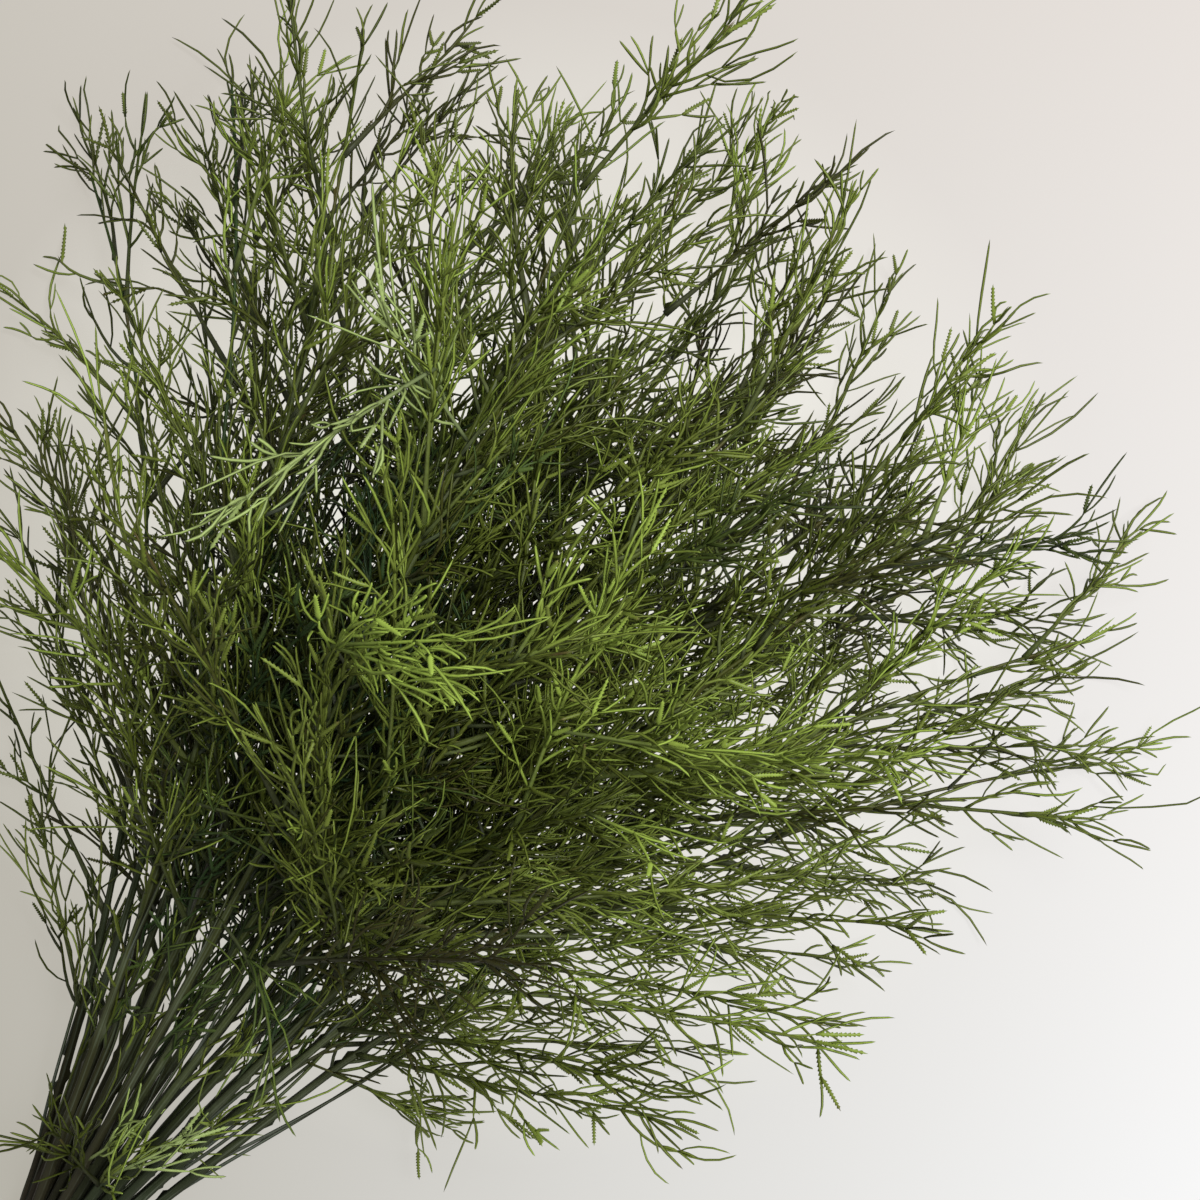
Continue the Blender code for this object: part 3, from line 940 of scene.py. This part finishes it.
    def sprig(self, root, way, angle, length, bare=SPRIG_BARE):
        """A small branch that leaves a stem at this angle and bends, bare for this share of its length."""
        draw = self.draw
        out = self.lean(way, draw.uniform(0, 360), angle)
        if root.z + out.z * length < -DEEPEST_SPRIG:
            out.z = -out.z
        tint = self.tint(root + out * length * TINT_PLACE)
        middle = out.lerp(way, draw.uniform(*SPRIG_TURN_BACK)) + self.stray(out, SPRIG_BEND[0])
        end = middle.lerp(way, draw.uniform(*SPRIG_TURN_AWAY)) + self.stray(out, SPRIG_BEND[1])
        self.spray(root, (out, middle, end), length * SPRIG_CURVE, tint, bare, SPRIG_PITCH)

    def top_spray(self, root, tip, tint):
        """A full small branch that arches over the others to its tip."""
        chord = tip - root
        way = chord.normalized()
        self.thickness = TOP_THICKNESS
        arch = (way + UP * TOP_ARCH, way, way - UP * TOP_ARCH)
        self.spray(root, arch, chord.length * TOP_LENGTH - TOP_END, tint, SPRIG_BARE, TOP_PITCH)
        self.thickness = 1.0

    def spray(self, root, directions, length, tint, bare, pitches):
        """A small branch along a curve, with twigs and leaves from this share of its length on."""
        draw = self.draw
        form = SPRIG_RING, SPRIG_RADIUS, TWIG_TONE, (SPRIG_WOOD[0] + bare, SPRIG_WOOD[1])
        places, ways = self.axis(root, directions, length, tint, *form)
        first = max(1, round(bare * len(places)))
        twig_pitch, leaf_pitch = pitches
        turn = draw.choice((0, 180))
        for i, at, _ in stations(places, first + 1, twig_pitch * self.openness, draw, SPRIG_TWIGS_UNTIL):
            azimuth = turn + draw.gauss(0, TWIG_ROLL)
            reach = draw.uniform(*SPRIG_TWIG_LENGTH)
            tip = at + self.lean(ways[i], azimuth, draw.uniform(*SPRIG_TWIG_ANGLE)) * reach
            self.twig(at, tip, tint)
            turn += 180
        self.leaves_along(places, ways, first, tint, draw.gauss(0, SPRIG_ROLL), leaf_pitch)
        self.fork(places[-2], ways[-1], draw.uniform(0, 180), FORK_LENGTH, tint)


def stalk(plant, number):
    """The stem itself, thickened where its branches leave it."""
    stem = plant["stem"]
    draw = random.Random(STALK_SEED + number)
    places, ways = stem.smooth(STALK_RING)
    knots = [stem.points[FIRST_NODE + branch["node"]] for branch in plant["branches"]]
    band = stem.points[1]
    total = (stem.points[-1] - band).length
    radii = []
    for place in places:
        share = min(1, (place - band).length / total) if place.x > 0 else 0
        radius = at_share(STALK_PROFILE, share)
        near = min(((place - knot).length for knot in knots), default=1.0)
        swelling = KNOT * math.exp(-((near / KNOT_REACH) ** 2))
        radii.append(radius * (1 + swelling + draw.uniform(-1, 1) * STALK_UNEVENNESS))
    tone = draw.uniform(*STALK_TONE)
    hue = (1 - plant["share"]) / 2 + draw.uniform(-STALK_HUE_SPREAD, STALK_HUE_SPREAD)
    strand = Strand(places, ways, radii, tone, hue, STALK_WOOD, ridge=RIDGE)
    for i in range(LOWEST_NUB, len(places) - 2):
        if draw.random() < NUB_SHARE and places[i].x > BAND_WIDTH:
            side = draw.randrange(STALK_SIDES)
            out = sideways(ways[i], -90 + 360 / STALK_SIDES * (side + 1))
            strand.teeth[i] = [(side, (out + ways[i] * NUB_LEAN) * draw.uniform(*NUB))]
    strand.root_room = CUT_ROOM
    return strand


def sprigs(foliage, plant, stem_line):
    """Small branches on the stem between the main ones, and the leaves at its top."""
    draw = foliage.draw
    stem = plant["stem"]
    fullness = by_side(OUTER_SPRIGS, plant["share"])
    widest = mix(SPRIG_ANGLE[1], OUTER_SPRIG_ANGLE, abs(plant["share"]))
    for node, most in enumerate(SPRIGS, start=1):
        start = stem.points[FIRST_NODE + node]
        end = stem.points[FIRST_NODE + node + 1]
        way = (end - start).normalized()
        if node == 1 and plant["share"] < BARE_SIDE:
            most *= LOW_SPRIGS
        count = max(1, round(most * fullness))
        for k in range(count):
            length = draw.uniform(*SPRIG_LENGTH) * mix(1, HIGH_SPRIG_SHARE, node / BRANCHES)
            root = start.lerp(end, (k + 0.7) / (count + 0.4))  # evenly between the nodes
            foliage.sprig(root, way, draw.uniform(SPRIG_ANGLE[0], widest), length)
    start, end = stem.points[FIRST_NODE], stem.points[FIRST_NODE + 1]
    way = (end - start).normalized()
    for share in [draw.uniform(*place) for place in LOW_SPRIG_PLACES]:
        angle = draw.uniform(*LOW_SPRIG_ANGLE)
        foliage.sprig(start.lerp(end, share), way, angle, draw.uniform(*LOW_SPRIG_LENGTH))
    for branch in plant["branches"]:
        if branch["node"] == 0:
            for _ in range(LOW_SPRAY_SPRIGS):
                angle = draw.uniform(*LOW_SPRAY_ANGLE)
                foliage.sprig(start, way, angle, draw.uniform(*LOW_SPRAY_LENGTH))
    start = stem.points[FIRST_NODE - 1]
    for k in range(RUNNERS):
        root = start.lerp(end, (k + draw.random()) / RUNNERS)
        foliage.sprig(root, way, draw.uniform(*RUNNER_ANGLE), draw.uniform(*RUNNER_LENGTH), RUNNER_BARE)
    tint = foliage.tint(stem.points[-1])
    places, ways = stem_line.places, stem_line.ways
    foliage.leaves_along(places, ways, len(places) - TOP_RINGS, tint, draw.uniform(0, 180))
    foliage.fork(places[-2], ways[-1], draw.uniform(0, 180), FORK_LENGTH, tint)


def add_top_sprays(plants):
    """Gives each of the sprays on top to the plant that has a stem or a branch nearest to its root."""
    roots = []
    for plant in plants:
        plant["top_sprays"] = []
        for limb in (plant["stem"], *(branch["limb"] for branch in plant["branches"])):
            for place in limb.smooth(STALK_RING)[0][2:-1]:
                roots.append((plant, place))
    for wanted, tip, tone, hue in TOP_SPRAYS:
        plant, root = min(roots, key=lambda found: (found[1] - Vector(wanted)).length)
        plant["top_sprays"].append((root, Vector(tip), (tone, hue)))


def plant_mesh(plant, number):
    """One leafy stem, from its stalk out to its leaves."""
    foliage = Foliage(random.Random(FOLIAGE_SEED + number), by_side(OPENING, plant["share"]))
    stem_line = stalk(plant, number)
    for branch in plant["branches"]:
        foliage.branch(branch)
    sprigs(foliage, plant, stem_line)
    for root, tip, tint in plant["top_sprays"]:
        foliage.top_spray(root, tip, tint)
    mesh = new_mesh()
    batches = (
        ([stem_line], STALK_SIDES),
        (foliage.limbs, BRANCH_SIDES),
        (foliage.twigs, TWIG_SIDES),
        (foliage.threads, THREAD_SIDES),
        (foliage.barbed, BARBED_SIDES),
    )
    strands = [strand for batch, _ in batches for strand in batch]
    first = 0
    for batch, sides in batches:
        draw_out(mesh, strands, range(first, first + len(batch)), sides)
        if first == 0:
            cut_end(mesh)
        first += len(batch)
    lay_out(mesh, strands)
    return mesh


def cut_end(mesh):
    """Sinks the pale pith into the cut end of a stem."""
    _, _, look, grain = layers(mesh)
    pith = min(mesh.faces, key=lambda face: face.calc_center_median().x)
    bmesh.ops.inset_region(mesh, faces=[pith], thickness=PITH_INSET, depth=-PITH_DEPTH)
    pith_look = (*pith.verts[0][look][:3], PITH_WOOD)
    for vert in pith.verts:
        vert[look] = pith_look
        vert[grain] = vert[grain] * PITH_GRAIN
    for vert in bmesh.ops.poke(mesh, faces=[pith])["verts"]:
        vert[look] = pith_look


def map_cells(strands):
    """Where each strand goes in its map, in rows with the tallest first, and the size of that map."""
    sizes = [(strand.sides + MAP_GAP, strand.root_room + strand.map_height()) for strand in strands]
    width = math.sqrt(sum(across * tall for across, tall in sizes))
    order = sorted(range(len(strands)), key=lambda n: -sizes[n][1])
    cells = {}
    x, y, row = 0.0, 0.0, sizes[order[0]][1]
    for n in order:
        across, tall = sizes[n]
        if x + across > width:
            x, y, row = 0.0, y + row, tall
        cells[n] = x, y
        x += across
    return cells, (width, y + row)


def lay_out(mesh, strands):
    """Unrolls every strand into a cell of its own, with its root face below."""
    owner, corner, look, grain = layers(mesh)
    uv = mesh.loops.layers.uv[BAKE_MAP]
    cells, (width, height) = map_cells(strands)
    for face in mesh.faces:
        n = face.verts[0][owner]
        strand = strands[n]
        x, y = cells[n]
        corners = [vert[corner] for vert in face.verts]
        wraps = max(corners) - min(corners) > strand.sides - 1.5
        is_root = all(vert[look][0] == 0 for vert in face.verts)
        for loop in face.loops:
            vert = loop.vert
            if is_root:
                across = strand.sides / 2 + vert[grain][0] * strand.root_room * ROOT_DISC
                up = strand.root_room * (0.5 + vert[grain][1] * ROOT_DISC)
            else:
                across = strand.sides if wraps and vert[corner] == 0 else vert[corner]
                up = strand.root_room + vert[look][0] * strand.map_height()
            loop[uv].uv = (x + across) / width, (y + up) / height


def band_outline():
    """Where the middle of the rubber band runs round all the stems: even places, each with the way out."""
    reach = STEM_RADIUS + BAND_GAP + BAND_THICKNESS / 2
    rims = []
    for y, z, _, _ in bundle_places():
        for k in range(BAND_PLACES):
            angle = 2 * math.pi * k / BAND_PLACES
            rims.append(Vector((y + reach * math.cos(angle), z + reach * math.sin(angle))))
    corners = [rims[i] for i in convex_hull_2d(rims)]
    corners.append(corners[0])
    lengths = [(b - a).length for a, b in zip(corners, corners[1:])]
    pitch = sum(lengths) / BAND_PLACES
    places = []
    travelled = 0.0
    for a, b, length in zip(corners, corners[1:], lengths):
        while len(places) < BAND_PLACES and len(places) * pitch <= travelled + length:
            places.append(a.lerp(b, (len(places) * pitch - travelled) / length))
        travelled += length
    middle = sum(places, Vector((0, 0))) / BAND_PLACES
    outline = []
    for i, place in enumerate(places):
        along = places[(i + 1) % BAND_PLACES] - places[i - 1]
        out = Vector((along.y, -along.x)).normalized()
        if out.dot(place - middle) < 0:
            out.negate()
        outline.append((Vector((0, *place)), Vector((0, *out))))
    return outline


def band_mesh():
    """A rubber band wound three times round the stems, which crosses back over its windings on top."""
    outline = band_outline()
    count = WINDINGS * BAND_PLACES
    top = max(range(BAND_PLACES), key=lambda i: outline[i][0].z - abs(outline[i][0].y) * TOP_PULL)
    first = top - round((WINDINGS - CROSSING * WINDINGS / 2) * BAND_PLACES)
    half = (BAND_WIDTH - BAND_STRIP) / 2
    middles, outs = [], []
    for i in range(count):
        place, out = outline[(first + i) % BAND_PLACES]
        share = i / count
        crossed = (share - (1 - CROSSING)) / CROSSING
        if crossed < 0:
            across = mix(-half, half, share / (1 - CROSSING))
            lift = 0.0
        else:
            across = mix(half, -half, ease(crossed))
            lift = ease(min(crossed, 1 - crossed) / CROSSING_RAMP) * BAND_THICKNESS
        middles.append(place + Vector((across, 0, 0)) + out * lift)
        outs.append(out)
    mesh = bmesh.new()
    corner = mesh.verts.layers.int.new("corner")
    ring = bmesh.ops.create_circle(mesh, segments=BAND_SIDES, radius=1)["verts"]
    for k, vert in enumerate(ring):
        vert[corner] = k
    edges = mesh.edges[:]
    first_edges = edges
    for i in range(count):
        along = (middles[(i + 1) % count] - middles[i - 1]).normalized()
        side = along.cross(outs[i]).normalized()
        up = side.cross(along)
        for vert in ring:
            angle = 2 * math.pi * vert[corner] / BAND_SIDES
            x, y = (math.copysign(abs(c) ** BAND_SQUARENESS, c) for c in (math.cos(angle), math.sin(angle)))
            vert.co = middles[i] + side * (x * BAND_STRIP / 2) + up * (y * BAND_THICKNESS / 2)
        if i < count - 1:
            made = bmesh.ops.extrude_edge_only(mesh, edges=edges)["geom"]
            ring = [part for part in made if isinstance(part, bmesh.types.BMVert)]
            edges = [part for part in made if isinstance(part, bmesh.types.BMEdge)]
    bmesh.ops.bridge_loops(mesh, edges=first_edges + edges)
    bmesh.ops.recalc_face_normals(mesh, faces=mesh.faces)
    return mesh


class Value:
    """A number that varies over a surface. Sums on it add Math nodes."""

    def __init__(self, finish, socket):
        self.finish = finish
        self.socket = socket

    def sum(self, operation, *values):
        return self.finish.node("ShaderNodeMath", {"operation": operation}, dict(enumerate(values)))

    def __add__(self, other):
        return self.sum("ADD", self, other)

    def __sub__(self, other):
        return self.sum("SUBTRACT", self, other)

    def __mul__(self, other):
        return self.sum("MULTIPLY", self, other)

    def __rsub__(self, other):
        return self.sum("SUBTRACT", other, self)

    __radd__ = __add__
    __rmul__ = __mul__

    def within(self, low, high):
        """0 up to low, 1 from high on, and even between them."""
        sockets = {"Value": self, "From Min": low, "From Max": high}
        return self.finish.node("ShaderNodeMapRange", {"clamp": True}, sockets)


class Finish:
    """A procedural material, made node by node."""

    def __init__(self, name, **constants):
        self.material = bpy.data.materials.new(name)
        self.material.use_nodes = True
        self.tree = self.material.node_tree
        self.shader = self.tree.nodes["Principled BSDF"]
        for socket, value in constants.items():
            self.shader.inputs[socket.replace("_", " ")].default_value = value

    def connect(self, socket, value):
        if isinstance(value, Value):
            self.tree.links.new(value.socket, socket)
        else:
            socket.default_value = (*value, 1) if socket.type == "RGBA" else value

    def node(self, kind, settings, sockets, output=0):
        """Adds a node: its settings first, then the values or links of its sockets. Gives one output."""
        made = self.tree.nodes.new(kind)
        for name, value in settings.items():
            if name == "stops":
                for i, (position, colour) in enumerate(value):
                    stops = made.color_ramp.elements
                    stop = stops[i] if i < 2 else stops.new(position)
                    stop.position = position
                    stop.color = (*colour, 1)
            else:
                setattr(made, name, value)
        for name, value in sockets.items():
            self.connect(made.inputs[name], value)
        return Value(self, made.outputs[output])

    def noise(self, scale, detail=2.0, vector=None):
        """Noise round 0, about -0.5 to 0.5, with this many patches to a metre."""
        sockets = {"Scale": scale, "Detail": detail}
        sockets["Vector"] = vector or self.node("ShaderNodeTexCoord", {}, {}, "Object")
        return self.node("ShaderNodeTexNoise", {}, sockets) - 0.5

    def blend(self, share, first, second):
        """A colour between two others."""
        return self.node("ShaderNodeMix", {"data_type": "RGBA"}, {0: share, 6: first, 7: second}, 2)

    def distance(self, at, place):
        """How far a position is from a fixed place."""
        return self.node("ShaderNodeVectorMath", {"operation": "DISTANCE"}, {0: at, 1: place}, "Value")

    def bump(self, height, distance, strength=1.0):
        sockets = {"Height": height, "Distance": distance, "Strength": strength}
        self.shade("Normal", self.node("ShaderNodeBump", {}, sockets))

    def shade(self, socket, value):
        self.connect(self.shader.inputs[socket], value)


DARK_LEAF = (0.012, 0.015, 0.001)
DEEP_LEAF = (0.041, 0.053, 0.006)
LEAF = (0.092, 0.116, 0.019)
FRESH_LEAF = (0.136, 0.182, 0.028)
BRIGHT_LEAF = (0.200, 0.275, 0.045)
BLUE_LEAF = (0.012, 0.036, 0.014)
PALE_AND_SHEEN_LEAF = (0.25, 0.31, 0.14)
BROWN_LEAF = (0.036, 0.029, 0.011)
BROWN_TIP = (0.075, 0.040, 0.022)
GREEN_STALK = (0.017, 0.024, 0.015)
GREY_STREAK_AND_SHEEN = (0.090, 0.104, 0.078)
BROWN_STALK = (0.024, 0.016, 0.010)
PITH = (0.33, 0.38, 0.20)


def dill_finish():
    """Greens that vary from spray to spray and along each leaf, with painted light in them, and grooved
    grey-green to brown stems whose grey streaks are partly a painted sheen.
    """
    finish = Finish("dill_finish", Specular_IOR_Level=0.13)
    look = finish.node("ShaderNodeAttribute", {"attribute_name": "look"}, {}, "Color")
    parts = finish.node("ShaderNodeSeparateColor", {}, {"Color": look}, "Red")
    split = parts.socket.node
    along, tone, hue = (Value(finish, split.outputs[name]) for name in ("Red", "Green", "Blue"))
    wood = Value(finish, look.socket.node.outputs["Alpha"])
    patches = finish.noise(45.0, 3.0)
    fine = finish.noise(900.0, 2.0)
    grain_at = finish.node("ShaderNodeAttribute", {"attribute_name": "grain"}, {}, "Vector")
    stretched = finish.node("ShaderNodeMapping", {}, {"Vector": grain_at, "Scale": (1.0, 1.0, 14.0)})
    streaks = finish.noise(1.5, 4.0, stretched)
    # Painted light: each strand is coloured lighter along its top ridge and darker on its underside
    painted_top_light = finish.node("ShaderNodeSeparateXYZ", {}, {"Vector": grain_at}, "Y")
    shade = tone + patches * 0.35 + fine * 0.25 + along * 0.10 + painted_top_light * 0.07
    # The leaves: from dark to bright, then the bluish, the brownish and the pale ones, the pale partly a
    # painted sheen, and brown tips
    greens = [(0.0, DARK_LEAF), (0.95, BRIGHT_LEAF), (0.3, DEEP_LEAF), (0.52, LEAF), (0.75, FRESH_LEAF)]
    leaf = finish.node("ShaderNodeValToRGB", {"stops": greens}, {"Fac": shade}, "Color")
    leaf = finish.blend((0.30 - hue).within(0.0, 0.3) * 0.6, leaf, BLUE_LEAF)
    brown = (0.30 - tone).within(0.0, 0.14) * (hue - 0.55).within(0.0, 0.2) * 0.4
    leaf = finish.blend(brown, leaf, BROWN_LEAF)
    # Pale grey-green leaves, partly a painted sheen
    leaf = finish.blend(hue.within(1.2, 1.7) * 0.7, leaf, PALE_AND_SHEEN_LEAF)
    dry = (along.within(0.75, 1.0) * (finish.noise(70.0, 1.0) + 0.5).within(0.58, 0.72)) * 0.8
    leaf = finish.blend(dry, leaf, BROWN_TIP)
    # The stems: green to the right of the bundle, brown to its left, streaked with grey that is partly a
    # painted sheen, and their pith
    stalk_colour = finish.blend((1 - hue).within(0.35, 0.9), GREEN_STALK, BROWN_STALK)
    # Grey streaks along the stems: partly real streaks, partly painted highlight lines
    stalk_colour = finish.blend((streaks + patches * 0.4).within(0.0, 0.18), stalk_colour, GREY_STREAK_AND_SHEEN)
    stalk_colour = finish.blend(wood.within(1.3, 1.8), stalk_colour, PITH)
    finish.shade("Base Color", finish.blend(wood.within(0.35, 0.95), leaf, stalk_colour))
    finish.shade("Roughness", 0.40 + fine * 0.2 + wood * 0.15)
    finish.bump(streaks * wood + fine * 0.3, 0.5 * MM, 0.8)
    return finish.material


def rubber_finish():
    finish = Finish("rubber_finish", Roughness=0.6)
    wide = finish.noise(300.0)
    fine = finish.noise(4000.0, 3.0)
    colour = finish.blend(wide.within(-0.3, 0.3), (0.50, 0.31, 0.13), (0.60, 0.41, 0.20))
    finish.shade("Base Color", colour)
    finish.bump(fine, 0.1 * MM, 0.5)
    return finish.material


# The view: the camera looks straight down, turned so that the stems come in from the lower left
PICTURE_TURN = -55.5  # degrees
CAMERA_PLACE = (0.236, -0.024, 0.457)
LENS = 50.0
SENSOR = 36.0
FLOOR_SIZE = 60.0
PAINTED_FLOOR_LIGHT = {  # painted light, left and right in the picture: darker and warmer to the left, lighter to the right
    "low": ((0.44, 0.42, 0.36), (0.90, 0.90, 0.90)),
    "high": ((0.545, 0.51, 0.45), (0.74, 0.69, 0.65)),
}
FLOOR_COLOUR = (0.05, 0.05, 0.05)
FLOOR_GLOW = 0.94  # most of its light is its own, as the photo's wall has almost no shadows on it
FLOOR_DROP = 0.2 * MM  # below the surface that the bunch lies on
PAINTED_LIGHT_PLACE = (0.225, 0.0, 0.0)  # a painted pool of light: the wall is lighter behind the bunch
PAINTED_LIGHT_REACH = (0.05, 0.16)
PAINTED_LIGHT_COLOUR = (0.93, 0.92, 0.83)
PAINTED_LIGHT_STRENGTH = 0.8
PLAIN_FROM = (0.26, 0.9)  # beyond the picture, from its middle, the wall goes over to one plain shade
PLAIN_SHADE = (0.70, 0.68, 0.64)

# The light: a pale sky all round, and a soft box above the right of the picture
SKY_COLOUR = (1.0, 0.99, 0.97)
SKY_STRENGTH = 0.42
SOFT_BOX_PLACE = (0.65, -0.25, 0.95)
SOFT_BOX_AIM = (0.2, 0.0, 0.05)
SOFT_BOX_SIZE = 0.4
SOFT_BOX_POWER = 17  # watts


def floor_finish():
    """A pale wall that glows, with painted light in its glow: warmer and darker to the left of the picture,
    cooler and lighter to the lower right, and lighter in a painted pool of light behind the bunch.
    """
    finish = Finish("floor_finish", Roughness=0.9, Specular_IOR_Level=0.1)
    at = finish.node("ShaderNodeTexCoord", {}, {}, "Object")
    turn = math.radians(PICTURE_TURN)
    half = CAMERA_PLACE[2] * SENSOR / LENS / 2
    shares = []
    for direction in ((math.cos(turn), math.sin(turn), 0), (-math.sin(turn), math.cos(turn), 0)):
        sockets = {0: at, 1: direction}
        along = finish.node("ShaderNodeVectorMath", {"operation": "DOT_PRODUCT"}, sockets, "Value")
        middle = Vector(CAMERA_PLACE).dot(Vector(direction))
        shares.append(along.within(middle - half, middle + half))
    # Painted light: the glow runs from darker at the left of the picture to lighter at the right
    low, high = (finish.blend(shares[0], *PAINTED_FLOOR_LIGHT[row]) for row in ("low", "high"))
    colour = finish.blend(shares[1], low, high)
    # A painted pool of light on the wall behind the bunch
    away = finish.distance(at, PAINTED_LIGHT_PLACE)
    colour = finish.blend((1 - away.within(*PAINTED_LIGHT_REACH)) * PAINTED_LIGHT_STRENGTH, colour, PAINTED_LIGHT_COLOUR)
    away = finish.distance(at, (*CAMERA_PLACE[:2], 0))
    colour = finish.blend(away.within(*PLAIN_FROM), colour, PLAIN_SHADE)
    finish.shade("Base Color", FLOOR_COLOUR)
    finish.shade("Emission Color", colour)
    finish.shade("Emission Strength", FLOOR_GLOW)
    return finish.material


def add_object(name, mesh, material):
    data = bpy.data.meshes.new(name)
    mesh.to_mesh(data)
    mesh.free()
    data.shade_smooth()
    made = bpy.data.objects.new(name, data)
    made.data.materials.append(material)
    bpy.context.scene.collection.objects.link(made)
    return made


def add_floor():
    mesh = bmesh.new()
    bmesh.ops.create_grid(mesh, x_segments=1, y_segments=1, size=FLOOR_SIZE / 2)
    floor = add_object("floor", mesh, floor_finish())
    floor.location.z = -FLOOR_DROP


def add_light():
    world = bpy.data.worlds.new("studio")
    world.use_nodes = True
    background = world.node_tree.nodes["Background"]
    background.inputs["Color"].default_value = (*SKY_COLOUR, 1)
    background.inputs["Strength"].default_value = SKY_STRENGTH
    bpy.context.scene.world = world
    lamp = bpy.data.lights.new("soft_box", "AREA")
    lamp.shape = "DISK"
    lamp.size = SOFT_BOX_SIZE
    lamp.energy = SOFT_BOX_POWER
    soft_box = bpy.data.objects.new("soft_box", lamp)
    soft_box.location = SOFT_BOX_PLACE
    aim = Vector(SOFT_BOX_AIM) - soft_box.location
    soft_box.rotation_euler = aim.to_track_quat("-Z", "Y").to_euler()
    bpy.context.scene.collection.objects.link(soft_box)


def add_camera():
    data = bpy.data.cameras.new("camera")
    data.lens = LENS
    data.sensor_width = SENSOR
    camera = bpy.data.objects.new("camera", data)
    camera.location = CAMERA_PLACE
    camera.rotation_euler = (0, 0, math.radians(PICTURE_TURN))
    bpy.context.scene.collection.objects.link(camera)
    bpy.context.scene.camera = camera


def main():
    dill = dill_finish()
    plants = grow_bunch()
    add_top_sprays(plants)
    for number, plant in enumerate(plants):
        piece = add_object(f"dill_stem_{number + 1:02d}", plant_mesh(plant, number), dill)
        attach(piece, "root")
        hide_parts(f"leafy_stem_{number + 1:02d}")
    band = add_object("rubber_band", band_mesh(), rubber_finish())
    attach(band, "root")
    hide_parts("band")
    add_floor()
    add_light()
    add_camera()
    bpy.context.scene.view_settings.view_transform = "Standard"


main()
